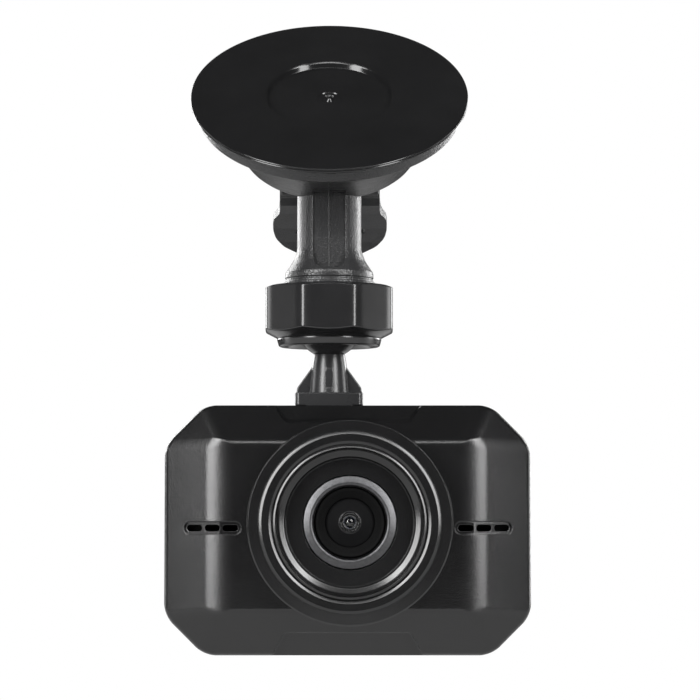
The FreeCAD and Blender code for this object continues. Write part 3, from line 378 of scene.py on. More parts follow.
def prism(name, pts, lo, hi, plane="XZ", arc=6, edge=0.0, edge_seg=3, matrix=None):
    """Extrudes a closed outline. plane XZ runs along Y, YZ along X, XY along Z; edge rounds both rims."""
    out = rounded(pts, arc)
    bm = bmesh.new()

    def at(a, b, h):
        p = {"XZ": (a, h, b), "YZ": (h, a, b), "XY": (a, b, h)}[plane]
        return Vector(p) * MM

    low = [bm.verts.new(at(a, b, lo)) for a, b in out]
    top = [bm.verts.new(at(a, b, hi)) for a, b in out]
    caps = [bm.faces.new(low), bm.faces.new(top)]
    n = len(out)
    for i in range(n):
        j = (i + 1) % n
        bm.faces.new((low[i], low[j], top[j], top[i]))
    bmesh.ops.recalc_face_normals(bm, faces=bm.faces)
    if edge:
        rims = list({e for f in caps for e in f.edges})
        bmesh.ops.bevel(bm, geom=rims, offset=edge * MM, segments=edge_seg, profile=0.5, affect="EDGES", clamp_overlap=True)
    if matrix is not None:
        bmesh.ops.transform(bm, matrix=matrix, verts=bm.verts)
    return new_object(name, bm)


def block(name, x0, x1, y0, y1, z0, z1, r=0.0, edge=0.0):
    return prism(name, [(x0, z0, r), (x1, z0, r), (x1, z1, r), (x0, z1, r)], y0, y1, "XZ", edge=edge)


def rod(name, axis, x, y, z, r, length, seg=48, edge=0.0):
    """A round bar that starts at (x, y, z) and runs along +axis."""
    if axis == "X":
        pts = [(y + r * math.cos(2 * math.pi * i / seg), z + r * math.sin(2 * math.pi * i / seg)) for i in range(seg)]
        return prism(name, pts, x, x + length, "YZ", edge=edge)
    if axis == "Y":
        pts = [(x + r * math.cos(2 * math.pi * i / seg), z + r * math.sin(2 * math.pi * i / seg)) for i in range(seg)]
        return prism(name, pts, y, y + length, "XZ", edge=edge)
    pts = [(x + r * math.cos(2 * math.pi * i / seg), y + r * math.sin(2 * math.pi * i / seg)) for i in range(seg)]
    return prism(name, pts, z, z + length, "XY", edge=edge)


def bake(ob):
    dg = bpy.context.evaluated_depsgraph_get()
    me = bpy.data.meshes.new_from_object(ob.evaluated_get(dg), preserve_all_data_layers=True, depsgraph=dg)
    old = ob.data
    ob.modifiers.clear()
    ob.data = me
    if old.users == 0:
        bpy.data.meshes.remove(old)
    return ob


def drop(ob):
    me = ob.data
    bpy.data.objects.remove(ob)
    if me.users == 0:
        bpy.data.meshes.remove(me)


def boolean(ob, op, *tools, keep=False):
    for t in tools:
        m = ob.modifiers.new("b", "BOOLEAN")
        m.operation = op
        m.solver = "EXACT"
        m.object = t
        bpy.context.view_layer.update()
        bake(ob)
        if not keep:
            drop(t)
    return ob


def cut(ob, *tools):
    return boolean(ob, "DIFFERENCE", *tools)


def join(ob, *tools):
    return boolean(ob, "UNION", *tools)


def bevel(ob, width, angle=35.0, seg=3, clamp=True):
    m = ob.modifiers.new("v", "BEVEL")
    m.width = width * MM
    m.segments = seg
    m.limit_method = "ANGLE"
    m.angle_limit = math.radians(angle)
    m.use_clamp_overlap = clamp
    return bake(ob)


def clean(ob):
    bm = bmesh.new()
    bm.from_mesh(ob.data)
    bmesh.ops.remove_doubles(bm, verts=bm.verts, dist=2e-6)
    bmesh.ops.dissolve_degenerate(bm, dist=1e-6, edges=bm.edges)
    loose = [v for v in bm.verts if not v.link_faces]
    bmesh.ops.delete(bm, geom=loose, context="VERTS")
    bmesh.ops.recalc_face_normals(bm, faces=bm.faces)
    bm.to_mesh(ob.data)
    bm.free()
    return ob


def dress(ob, node, body=None, slot=None, angle=32.0, weighted=True):
    """Finishes a piece: material, shading, its CAD body and the CAD node it stands for."""
    slot = slot or SLOT_OF[node]
    clean(ob)
    me = ob.data
    me.materials.clear()
    me.materials.append(MATS[slot])
    me.polygons.foreach_set("use_smooth", [True] * len(me.polygons))
    me.set_sharp_from_angle(angle=math.radians(angle))
    if weighted:
        w = ob.modifiers.new("n", "WEIGHTED_NORMAL")
        w.keep_sharp = True
    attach(ob, body or NODES[node]["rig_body"])
    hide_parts(node)
    return ob


# ------------------------------------------------------------------ suction pad
pad = lathe("suction_pad_vis", [
    (0, -1.0), (0.3, -1.02, 0.2), (0.62, -1.3, 0.25), (0.9, -1.62, 0.15), (1.35, -1.66, 0.15), (1.7, -1.4, 0.15), (1.95, -1.22, 0.12), (2.35, -1.42, 0.12), (2.6, -1.42, 0.1), (2.8, -1.2, 0.08),
    (13.45, -1.2, 0.25), (14.0, -0.3, 0.2), (14.4, 0.0, 0.18), (30.4, 0.0, 0.45), (31.0, -0.2, 0.25), (31.1, -0.42, 0.12), (30.85, -0.62, 0.06), (31.0, -0.8, 0.08), (31.02, -1.12, 0.1),
    (29.3, -1.4, 0.2), (24.0, -1.75), (15.2, -2.1, 0.3), (14.0, -2.9, 0.3), (13.6, -7.5, 0.3), (3.3, -7.5), (3.3, -6.85), (12.1, -6.85), (12.1, -2.35), (0, -2.35)],
    seg=192, matrix=LEAN)
dress(pad, "suction_pad", angle=28)

# ------------------------------------------------------------------ dome and arm
dome = lathe("mount_arm_vis", [
    (27.4, -1.95), (29.3, -1.95, 0.25), (29.5, -2.3, 0.2), (29.4, -4.5, 0.3), (28.6, -4.95, 0.5),
    (25.9, -7.0, 8.0), (23.2, -9.9, 8.0), (20.8, -12.9, 6.0), (19.2, -15.4, 2.0), (18.2, -16.4, 0.8), (16.3, -16.95, 0.6),
    (13.0, -17.1, 0.5), (11.8, -18.7, 0.3), (11.3, -19.2, 0.25), (3.05, -19.2), (3.05, -8.2), (5.2, -8.2), (5.2, -13.2), (16.0, -13.2), (18.0, -12.2), (21.2, -9.0), (26.6, -4.4)],
    seg=160, arc=6, matrix=LEAN)
neck = lathe("neck", [
    (0, -13.5), (7.15, -13.5), (7.15, -35.3, 4.0), (8.0, -37.6, 2.0), (8.95, -39.1, 2.0), (9.75, -40.3, 0.5), (9.85, -40.8, 0.3), (9.85, -41.55, 0.08), (9.66, -41.72, 0.05),
    (9.66, -41.95, 0.05), (9.85, -42.1, 0.08), (9.85, -42.5, 0.05), (10.3, -42.55, 0.2), (10.3, -43.1, 0.15), (8.7, -43.1),
    (8.7, -44.2, 0.15), (9.2, -44.6, 0.15), (9.2, -45.2, 0.15), (8.7, -45.6, 0.15), (8.7, -46.0, 0.15), (9.2, -46.4, 0.15), (9.2, -47.0, 0.15), (8.7, -47.4, 0.15), (8.7, -47.8, 0.15),
    (9.2, -48.2, 0.15), (9.2, -48.8, 0.15), (8.7, -49.2, 0.15), (8.7, -50.5, 0.2), (0, -50.5)], seg=128)
cut(neck, lathe("neck_tool", [(0, 3.0), (28.0, 3.0), (26.4, -5.0), (21.0, -9.6), (17.6, -13.0), (16.0, -14.0), (0, -14.0)], seg=96, matrix=LEAN))
join(dome, neck)
channel = prism("chan", [(-3.6, -22.6), (-3.6, -39.7, 2.2), (3.6, -39.7, 2.2), (3.6, -22.6)], -9.75, -5.75, "XZ", arc=8)
way = lathe("way", [(0, -1.0), (3.05, -1.0), (3.05, -40.0), (0, -40.0)], seg=64, matrix=LEAN)
socket = lathe("socket", [(0, -43.6), (7.4, -43.6), (7.4, -51.5), (0, -51.5)], seg=96)
core = lathe("core", [(0, -29.0), (4.0, -29.0), (4.0, -44.0), (0, -44.0)], seg=64)
cut(dome, channel, way, socket, core)
# the mould's parting line stands up as a fine ridge down the channel's floor
join(dome, prism("ridge", [(-0.17, -22.2), (-0.17, -39.5), (0.17, -39.5), (0.17, -22.2)], -5.97, -5.6, "XZ"),
     prism("dome_ridge", [(-18.4, -22.33), (-15.3, -22.2), (-11.4, -22.68), (-8.0, -23.5), (-5.6, -23.9), (-5.6, -21.4), (-18.0, -21.6)], -0.15, 0.15, "YZ"))
bevel(dome, 0.16, angle=42, seg=3)
dress(dome, "mount_arm", angle=30)

# ------------------------------------------------------------------ lock lever
PY, PZ = 25.0 * math.sin(math.radians(40)), -25.0 * math.cos(math.radians(40))
side = [(-3.3, 0.8, 1.0), (-3.3, -2.6, 1.2), (-2.0, -4.4, 1.2), (0.3, -6.0, 2.0), (4.0, -9.0, 6.0), (6.9, -11.8, 6.0), (10.2, -15.6, 0.9),
        (11.9, -14.1, 0.9), (8.5, -10.1, 6.0), (5.5, -7.2, 6.0), (2.9, -4.7, 1.5), (3.2, -2.0, 1.0), (3.0, 1.0, 1.4), (0.5, 2.6, 1.4), (-2.0, 2.4, 1.2)]
lever = prism("lock_lever_vis", [(PY + a, PZ + b, r) for a, b, r in side], -13.2, 13.2, "YZ", arc=8)
half = [(-8.0, 11.4, 0.5), (3.2, 11.4, 2.0), (4.7, 11.7, 1.5), (6.3, 12.9, 1.6), (7.6, 13.1, 3.0), (9.6, 13.1, 6.0), (12.2, 12.6, 6.0), (14.6, 10.7, 5.0), (16.4, 7.6, 5.0), (17.6, 3.6, 6.0)]
outline = [(b, a, r) for a, b, r in half] + [(-b, a, r) for a, b, r in reversed(half)]
TILT = Matrix.Translation(Vector((0, PY, PZ)) * MM) @ Matrix.Rotation(math.radians(-45), 4, "X")
plan = prism("lever_plan", outline, -30.0, 30.0, "XY", arc=8, matrix=TILT)
boolean(lever, "INTERSECT", plan)
bevel(lever, 0.45, angle=40, seg=4)
ecc = math.radians(150)
join(lever, rod("cam", "X", -11.15, PY + 1.7 * math.cos(ecc), PZ + 1.7 * math.sin(ecc), 3.7, 22.3, seg=72, edge=0.35))
cut(lever,
    block("eye_slot", -3.15, 3.15, PY - 6.5, PY + 4.9, PZ - 4.4, PZ + 7.5),
    rod("pin_way", "X", -20.0, PY, PZ, 1.04, 40.0, seg=40),
    prism("grip", [(-8.0, 9.3, 0.78), (8.0, 9.3, 0.78), (8.0, 10.9, 0.78), (-8.0, 10.9, 0.78)], -30.0, 30.0, "XY", matrix=TILT))
dress(lever, "lock_lever", angle=35)

# ------------------------------------------------------------------ lock nut: eight flats, rounded corners, both ends turned down
def smooth_min(a, b, r):
    h = max(0.0, min(1.0, 0.5 + 0.5 * (b - a) / r))
    return b * (1 - h) + a * h - r * h * (1 - h)


def nut_radius(theta, z):
    q = (theta + math.pi / 8) % (math.pi / 4) - math.pi / 8
    flat = 14.1 / math.cos(q)
    flat = smooth_min(flat, 15.02, 0.5)
    top = 15.25 - max(0.0, (z + 44.05)) * 2.6
    low = 15.35 - max(0.0, (-53.05 - z)) * 1.95
    return smooth_min(smooth_min(flat, top, 0.35), low, 0.45)


bm = bmesh.new()
SEG = 8 * 28
levels = [-43.3 - 0.06 * i for i in range(14)] + [-44.3 - 0.6 * i for i in range(14)] + [-52.4 - 0.125 * i for i in range(22)]
levels = [z for z in levels if z > -55.06]
outer = []
for z in levels:
    outer.append([bm.verts.new(Vector((nut_radius(2 * math.pi * i / SEG, z) * math.cos(2 * math.pi * i / SEG),
                                       nut_radius(2 * math.pi * i / SEG, z) * math.sin(2 * math.pi * i / SEG), z)) * MM) for i in range(SEG)])
rest = rounded([(11.6, -55.1, 0.08), (11.6, -55.35, 0.08), (11.25, -56.6, 0.3), (10.95, -56.8, 0.15), (9.5, -56.8, 0.12), (8.2, -56.1, 0.4), (7.5, -55.45, 0.1), (9.45, -55.45, 0.1),
                (9.45, -44.1, 0.3), (10.0, -43.5, 0.2), (10.35, -43.3, 0.2), (13.2, -43.3, 0.01)], 5)
for r, z in rest:
    outer.append([bm.verts.new(Vector((r * math.cos(2 * math.pi * i / SEG), r * math.sin(2 * math.pi * i / SEG), z)) * MM) for i in range(SEG)])
n = len(outer)
for i in range(n):
    a, b = outer[i], outer[(i + 1) % n]
    for j in range(SEG):
        q = (j + 1) % SEG
        bm.faces.new((a[j], a[q], b[q], b[j]))
nut = new_object("lock_nut_vis", bm)
dress(nut, "lock_nut", angle=38)

ball = lathe("joint_ball_vis", [(7.25 * math.sin(math.pi * i / 48), 7.25 * math.cos(math.pi * i / 48) - 52.0) for i in range(49)], seg=96)
dress(ball, "joint_ball", angle=40, weighted=False)

# ------------------------------------------------------------------ stem and rail foot
stem = lathe("mount_foot_vis", [(0, -57.6), (3.28, -57.6, 0.1), (3.45, -58.3), (3.95, -61.3), (4.45, -66.6), (4.6, -67.8), (0, -67.8)], seg=96)
gusset = prism("gusset", [(-3.3, -60.6, 0.4), (-7.1, -65.9, 0.7), (-7.4, -67.6), (7.4, -67.6), (7.1, -65.9, 0.7), (3.3, -60.6, 0.4)], -1.25, 1.25, "XZ", edge=0.3)
rib = prism("rib", [(-3.0, -60.8, 0.3), (-6.4, -66.2, 0.6), (-6.6, -67.6), (0.0, -67.6), (0.0, -60.8)], -0.8, 0.8, "YZ", edge=0.2)
blk = prism("foot_block", [(-7.5, -7.0, 1.1), (7.5, -7.0, 1.1), (7.5, 7.0, 1.1), (-7.5, 7.0, 1.1)], -70.1, -67.2, "XY", edge=0.28)
web = prism("foot_web", [(-5.0, -7.0), (5.0, -7.0), (5.0, 7.0), (-5.0, 7.0)], -72.5, -69.8, "XY")
rail = prism("foot_rail", [(-7.3, -7.0, 0.6), (7.3, -7.0, 0.6), (7.3, 7.0, 0.6), (-7.3, 7.0, 0.6)], -74.3, -72.25, "XY", edge=0.25)
join(stem, gusset, rib, blk, web, rail)
cut(stem, lathe("seat", [(7.37 * math.sin(math.pi * i / 40), 7.37 * math.cos(math.pi * i / 40) - 52.0) for i in range(41)], seg=72))
dress(stem, "mount_foot", angle=34)

# ------------------------------------------------------------------ camera case
CX, LX, LZ = 4.1, 4.6, -95.8


def octa(x0, x1, z0, z1, c):
    return [(x0 + c, z0), (x1 - c, z0), (x1, z0 + c), (x1, z1 - c), (x1 - c, z1), (x0 + c, z1), (x0, z1 - c), (x0, z0 + c)]


def ring(d):
    return octa(CX - 40 + d, CX + 40 - d, -124.7 + d, -70.2 - d, 8.7 - d * 0.586)


def solid_rings(name, rings, weights=None, last4=False, seg=5):
    """A solid through closed outlines standing across Y; weights give each kind of edge its rounding."""
    bm = bmesh.new()
    wl = bm.edges.layers.float.new("bevel_weight_edge")
    vs = [[bm.verts.new(Vector((a, y, b)) * MM) for a, b in pts] for y, pts in rings]
    bm.faces.new(vs[0])
    bm.faces.new(vs[-1])
    for i in range(len(vs) - 1):
        a, b = vs[i], vs[i + 1]
        if len(a) == 8 and len(b) == 4:
            for s_, (p, q, c, d) in enumerate(((0, 1, 1, 0), (2, 3, 2, 1), (4, 5, 3, 2), (6, 7, 0, 3))):
                bm.faces.new((a[p], a[q], b[c], b[d]))
            for p, q, c in ((1, 2, 1), (3, 4, 2), (5, 6, 3), (7, 0, 0)):
                bm.faces.new((a[p], a[q], b[c]))
        else:
            m = len(a)
            for j in range(m):
                q = (j + 1) % m
                bm.faces.new((a[j], a[q], b[q], b[j]))
    bmesh.ops.recalc_face_normals(bm, faces=bm.faces)
    big = 0.0
    if weights:
        level = {}
        for i, r_ in enumerate(vs):
            for v in r_:
                level[v] = i
        big = max(weights.values())
        for e in bm.edges:
            i, j = sorted((level[e.verts[0]], level[e.verts[1]]))
            key = (i, j)
            if i == j:
                d = e.verts[0].co - e.verts[1].co
                key = (i, "v") if abs(d.z) > abs(d.x) * 2 and (i, "v") in weights else (i, i)
            e[wl] = weights.get(key, 0.0) / big
    ob = new_object(name, bm)
    if weights:
        m = ob.modifiers.new("v", "BEVEL")
        m.width = big * MM
        m.segments = seg
        m.limit_method = "WEIGHT"
        m.use_clamp_overlap = True
        bake(ob)
    return ob


plateau = [(-23.75, -115.0), (31.5, -115.0), (31.5, -78.4), (-23.75, -78.4)]
front = solid_rings("front_shell_vis", [(-3.0, ring(0)), (-10.0, ring(0)), (-16.0, plateau)],
                    {(0, 0): 0.22, (0, 1): 2.5, (1, 1): 0.9, (1, 2): 1.3, (2, 2): 0.75, (2, "v"): 3.5}, seg=6)
inner_p = [(-23.0, -114.2), (30.7, -114.2), (30.7, -79.2), (-23.0, -79.2)]
hollow = solid_rings("front_hollow", [(-1.0, ring(1.7)), (-9.3, ring(1.7)), (-14.3, inner_p)])
BOSS_X, BOSS_Z = 35.2, (-79.5, -115.5)
STAND_X, STAND_Z = (-28.0, 16.5), (-80.4, -114.5)
VENT_X, VENT_Z = (-25.2, 33.6), -97.0
keep = [rod("kb", "Y", CX + s * BOSS_X, -16.0, z, 2.3, 20.0) for s in (-1, 1) for z in BOSS_Z]
keep += [rod("ks", "Y", CX + x, -13.4, z, 2.1, 20.0) for x in STAND_X for z in STAND_Z]
keep += [block("kv", vx - 7.6, vx + 7.6, -20.0, -10.0, VENT_Z - 2.9, VENT_Z + 2.9) for vx in VENT_X]
keep += [block("kr", -9.1, 9.1, -13.0, 5.0, -76.1, -60.0), block("kt", CX - 18, CX + 18, -15.0, -7.0, -80.0, -60.0), block("kl", CX - 18, CX + 18, -15.0, -7.0, -140.0, -116.7)]
cut(hollow, *keep)
cut(front, hollow)
join(front, *[rod("ks", "Y", CX + x, -4.5, z, 2.1, 7.5) for x in STAND_X for z in STAND_Z])
cut(front, rod("mouth", "Y", LX, -20.0, LZ, 17.3, 12.0, seg=128),
    block("rail_slot", -5.15, 5.15, -7.25, 30.0, -72.2, -60.0), block("rail_room", -7.45, 7.45, -7.25, 30.0, -74.45, -72.1))
# shallow finger notches: their floors run parallel to the slopes, 0.9 mm deep
notch_t = prism("notch_t", [(CX - 13.4, -74.3, 2.4), (CX - 18.2, -67.2), (CX + 18.2, -67.2), (CX + 13.4, -74.3, 2.4)], -25.0, -5.0, "XZ", arc=10)
boolean(notch_t, "INTERSECT", prism("floor_t", [(-25.0, -74.4), (-13.02, -74.4), (-10.8, -73.1), (-5.6, -66.0), (-25.0, -66.0)], -30.0, 40.0, "YZ"))
bevel(notch_t, 0.75, angle=25, seg=5)
notch_l = prism("notch_l", [(CX - 13.7, -119.5, 1.2), (CX - 18.0, -127.5), (CX + 18.0, -127.5), (CX + 13.7, -119.5, 1.2)], -25.0, -5.0, "XZ", arc=8)
boolean(notch_l, "INTERSECT", prism("floor_l", [(-25.0, -119.4), (-11.9, -119.4), (-11.9, -119.5), (-8.7, -124.7), (-5.7, -129.5), (-25.0, -129.5)], -30.0, 40.0, "YZ"))
bevel(notch_l, 0.6, angle=25, seg=5)
cut(front, notch_t, notch_l)
for vx in VENT_X:
    # the recess follows the case's surface 0.75 mm down, over the plateau's edge and onto the side slope
    s = -1 if vx < 0 else 1
    face = [(-9.25, -35.9 - CX), (-15.25, -23.75 - CX), (-15.25, -12.0 - CX)] if s < 0 else [(-15.25, 24.0 - CX), (-15.25, 31.5 - CX), (-9.25, 44.1 - CX)]
    skin = prism("skin", [(CX + b, a) for a, b in face] + [(CX + face[-1][1], -25.0), (CX + face[0][1], -25.0)], VENT_Z - 3.0, VENT_Z + 3.0, "XY")
    recess = prism("recess", [(vx - 6.3, VENT_Z - 1.4, 1.38), (vx + 6.3, VENT_Z - 1.4, 1.38), (vx + 6.3, VENT_Z + 1.4, 1.38), (vx - 6.3, VENT_Z + 1.4, 1.38)], -25.0, -5.0, "XZ", arc=10)
    boolean(recess, "INTERSECT", skin)
    cut(front, recess)
    cut(front, *[prism("slot", [(vx + o - 1.65, VENT_Z - 0.68, 0.62), (vx + o + 1.65, VENT_Z - 0.68, 0.62), (vx + o + 1.65, VENT_Z + 0.68, 0.62), (vx + o - 1.65, VENT_Z + 0.68, 0.62)],
                       -20.0, -8.0, "XZ") for o in (-3.95, 0.0, 3.95)])
    felt = block("vent_felt", vx - 6.6, vx + 6.6, -9.98, -9.55, VENT_Z - 1.9, VENT_Z + 1.9, r=0.3)
    clean(felt)
    felt.data.materials.append(MATS["barrel_black"])
    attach(felt, NODES["front_shell"]["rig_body"])
cut(front, *[rod("pilot", "Y", CX + s * BOSS_X, -8.0, z, 1.05, 9.0, seg=32) for s in (-1, 1) for z in BOSS_Z])
cut(front, *[rod("pilot", "Y", CX + x, -2.6, z, 0.85, 8.0, seg=32) for x in STAND_X for z in STAND_Z])
dress(front, "front_shell", angle=26)

WX, WZ, BX = -2.9, -97.5, 31.6
BTN_Z = [WZ + 17.2, WZ + 8.6, WZ, WZ - 8.6, WZ - 17.2]
back = solid_rings("back_shell_vis", [(-2.98, ring(0)), (9.6, ring(0)), (12.0, ring(2.4))],
                   {(0, 0): 0.22, (0, 1): 2.5, (1, 1): 1.6, (1, 2): 1.6, (2, 2): 1.1}, seg=6)
hollow = solid_rings("back_hollow", [(-5.0, ring(1.7)), (8.6, ring(1.7)), (9.8, ring(2.9))])
keep = [rod("kb", "Y", CX + s * BOSS_X, -10.0, z, 2.4, 24.0) for s in (-1, 1) for z in BOSS_Z]
keep += [block("kr", -9.1, 9.1, -10.0, 14.0, -76.1, -60.0), rod("kp", "Y", 25.0, 9.0, -79.5, 1.7, 2.5)]
cut(hollow, *keep)
cut(back, hollow)
cut(back, block("rail_slot", -5.15, 5.15, -7.25, 30.0, -72.2, -60.0), block("rail_room", -7.45, 7.45, -7.25, 30.0, -74.45, -72.1),
    block("seat", WX - 25.6, WX + 25.6, 10.55, 16.0, WZ - 19.35, WZ + 19.35, r=2.1), block("wayw", WX - 23.5, WX + 23.5, 5.0, 20.0, WZ - 17.25, WZ + 17.25, r=0.8))
for z in BTN_Z:
    cut(back, block("bw", BX - 4.12, BX + 4.12, 6.0, 14.0, z - 2.82, z + 2.82, r=1.3))
for s in (-1, 1):
    for z in BOSS_Z:
        cut(back, lathe("sink", [(0, -5.0), (1.1, -5.0), (1.1, 9.9), (1.95, 9.9), (1.95, 11.8), (2.15, 12.1), (2.15, 14.0), (0, 14.0)], axis="Y", at=(CX + s * BOSS_X, 0, z), seg=48))
cut(back, rod("pw", "Y", 25.0, 5.0, -79.5, 0.95, 12.0, seg=32),
    prism("usb", [(-1.1, -94.2, 0.6), (3.15, -94.2, 0.6), (3.15, -85.8, 0.6), (-1.1, -85.8, 0.6)], CX - 42.0, CX - 37.0, "YZ"),
    prism("card", [(1.3, -110.6, 0.3), (2.7, -110.6, 0.3), (2.7, -98.4, 0.3), (1.3, -98.4, 0.3)], CX + 37.0, CX + 42.0, "YZ"))
dress(back, "back_shell", angle=26)

# ------------------------------------------------------------------ lens front
FR = -23.3
at = (LX, 0.0, LZ)
bezel = lathe("lens_bezel_vis", [
    (15.85, -13.4), (15.85, FR + 0.4, 0.2), (15.98, FR + 0.12, 0.1), (16.46, FR + 0.32, 0.1), (16.54, FR + 0.66, 0.05), (16.7, FR + 0.62, 0.05), (16.82, FR + 0.26, 0.1), (17.36, FR + 0.02, 0.12),
    (17.6, FR, 0.1), (18.9, FR, 0.2), (19.5, FR + 0.22, 0.12), (19.58, FR + 0.6, 0.1), (21.8, FR + 0.72, 0.14), (22.1, FR + 1.0, 0.14), (22.1, -16.02, 0.05),
    (17.2, -16.02), (17.2, -13.4)], axis="Y", at=at, seg=224, arc=6)
dress(bezel, "lens_bezel", angle=30)
# steep wall, then a shallow flared band down to a fine bead round the flat floor
funnel = lathe("bezel_funnel_vis", [
    (15.75, -14.2), (15.75, FR + 0.6, 0.06), (15.66, FR + 0.75, 0.08), (15.6, FR + 3.65, 0.2), (15.2, FR + 3.92, 0.5), (14.6, FR + 4.2, 0.6), (14.2, FR + 4.4, 0.06), (14.14, FR + 4.34, 0.04), (13.82, FR + 4.22, 0.06), (13.74, FR + 4.5, 0.08),
    (10.25, FR + 4.5, 0.06), (10.25, FR + 6.1), (13.6, FR + 6.1), (13.6, -14.2)], axis="Y", at=at, seg=224, arc=6)
dress(funnel, "bezel_funnel", angle=30)
trim = lathe("lens_trim_ring_vis", [
    (7.72, FR + 6.0), (7.72, FR + 4.5, 0.3), (8.1, FR + 3.95, 0.4), (8.6, FR + 3.82, 0.4), (9.92, FR + 4.24, 0.15), (10.1, FR + 4.42, 0.08), (10.1, FR + 6.0)], axis="Y", at=at, seg=192, arc=6)
dress(trim, "lens_trim_ring", angle=30)
# the barrel's mouth steps inwards in fine rings that stop stray light
steps = []
r, y = 7.0, -18.4
while r > 5.6:
    steps += [(r, y), (r - 0.22, y + 0.05), (r - 0.22, y + 0.2)]
    r -= 0.26
    y += 0.2
barrel = lathe("lens_barrel_vis", [(7.55, -17.6), (7.6, -18.2, 0.1), (7.3, -18.48, 0.1)] + steps + [
    (5.35, y), (5.35, -14.0), (4.2, -13.9), (4.2, -13.3), (4.75, -13.3), (4.75, -5.6), (6.0, -5.6), (6.0, -16.4), (7.4, -16.8)], axis="Y", at=at, seg=160)
dress(barrel, "lens_barrel", angle=30)


def element(name, r, y0, y1, front, back):
    pts = [(r * i / 16, y0 - front * (1 - (i / 16) ** 2)) for i in range(17)] + [(r * i / 16, y1 + back * (1 - (i / 16) ** 2)) for i in range(16, -1, -1)]
    ob = lathe(name + "_vis", pts, axis="Y", at=at, seg=96)
    return dress(ob, name, angle=30, weighted=False)


eye = [(0.0, -17.5), (0.35, -17.46), (0.68, -17.34), (0.95, -17.16), (1.18, -16.92, 0.05), (1.3, -16.86, 0.05), (1.38, -17.2, 0.06), (1.56, -17.24, 0.06), (1.66, -16.95, 0.05), (1.84, -16.95, 0.05),
       (1.92, -17.32, 0.06), (2.24, -17.34, 0.08), (2.36, -17.1, 0.06), (5.25, -16.6), (5.25, -14.1), (0.0, -14.1)]
eye = lathe("lens_front_element_vis", eye, axis="Y", at=at, seg=128, arc=5)
dress(eye, "lens_front_element", angle=30, weighted=False)
# the front element takes the glass with painted shade: black outside its small clear pupil
eye.data.materials[0] = MATS["lens_masked"]
element("lens_second_element", 4.65, -13.2, -11.4, 0.0, -0.3)
element("lens_rear_element", 4.65, -8.5, -6.6, 0.2, 0.4)
spacer = lathe("lens_spacer_vis", [(2.6, -11.2), (4.65, -11.3, 0.1), (4.65, -8.9, 0.1), (3.9, -8.9), (3.0, -10.9)], axis="Y", at=at, seg=96)
dress(spacer, "lens_spacer", angle=30)

# ------------------------------------------------------------------ back: window, buttons, screws, light pipe
win = prism("lcd_window_vis", [(WX - 25.5, WZ - 19.25, 2.0), (WX + 25.5, WZ - 19.25, 2.0), (WX + 25.5, WZ + 19.25, 2.0), (WX - 25.5, WZ + 19.25, 2.0)], 10.6, 12.0, "XZ", arc=10, edge=0.22)
dress(win, "lcd_window", angle=25)


def arrow(s):
    return [(-1.3, -0.75 * s), (1.3, -0.75 * s), (0.0, 0.95 * s)]


def ring_pts(r0, r1, a0, a1, n=22):
    p = [(r1 * math.cos(math.radians(a0 + (a1 - a0) * i / n)), r1 * math.sin(math.radians(a0 + (a1 - a0) * i / n))) for i in range(n + 1)]
    return p + [(r0 * math.cos(math.radians(a1 - (a1 - a0) * i / n)), r0 * math.sin(math.radians(a1 - (a1 - a0) * i / n))) for i in range(n + 1)]


ICONS = {"power": [ring_pts(0.95, 1.2, 120, 420), [(-0.13, 0.45), (0.13, 0.45), (0.13, 1.45), (-0.13, 1.45)]],
         "menu": [[(-1.3, z - 0.13), (1.3, z - 0.13), (1.3, z + 0.13), (-1.3, z + 0.13)] for z in (-0.75, 0.0, 0.75)],
         "up": [arrow(1)], "down": [arrow(-1)], "ok": [ring_pts(0.0, 0.85, 0, 359, 30)[:31]]}
for word, z in zip(("power", "menu", "up", "down", "ok"), BTN_Z):
    node = "button_" + word
    cap = prism(node + "_vis", [(BX - 4.0, z - 2.7, 1.2), (BX + 4.0, z - 2.7, 1.2), (BX + 4.0, z + 2.7, 1.2), (BX - 4.0, z + 2.7, 1.2)], 8.9, 12.6, "XZ", arc=8, edge=0.45, edge_seg=5)
    # a shallow finger dish in the cap
    dish = lathe("dish", [(16.0 * math.sin(math.pi * i / 60), 16.0 * math.cos(math.pi * i / 60)) for i in range(61)], axis="Y", at=(BX, 12.6 + 16.0 - 0.16, z), seg=96)
    cut(cap, dish)
    join(cap, block("flange", BX - 4.8, BX + 4.8, 8.7, 9.7, z - 3.4, z + 3.4, r=0.8), rod("post", "Y", BX, 8.45, z, 1.3, 0.6, seg=40))
    dress(cap, node, angle=30)
    for i, pts in enumerate(ICONS[word]):
        ic = prism("%s_mark_%d" % (node, i), [(BX - a, z + b) for a, b in pts], 12.3, 12.56, "XZ")
        clean(ic)
        ic.data.materials.append(MATS["print_pale"])
        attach(ic, NODES[node]["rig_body"])


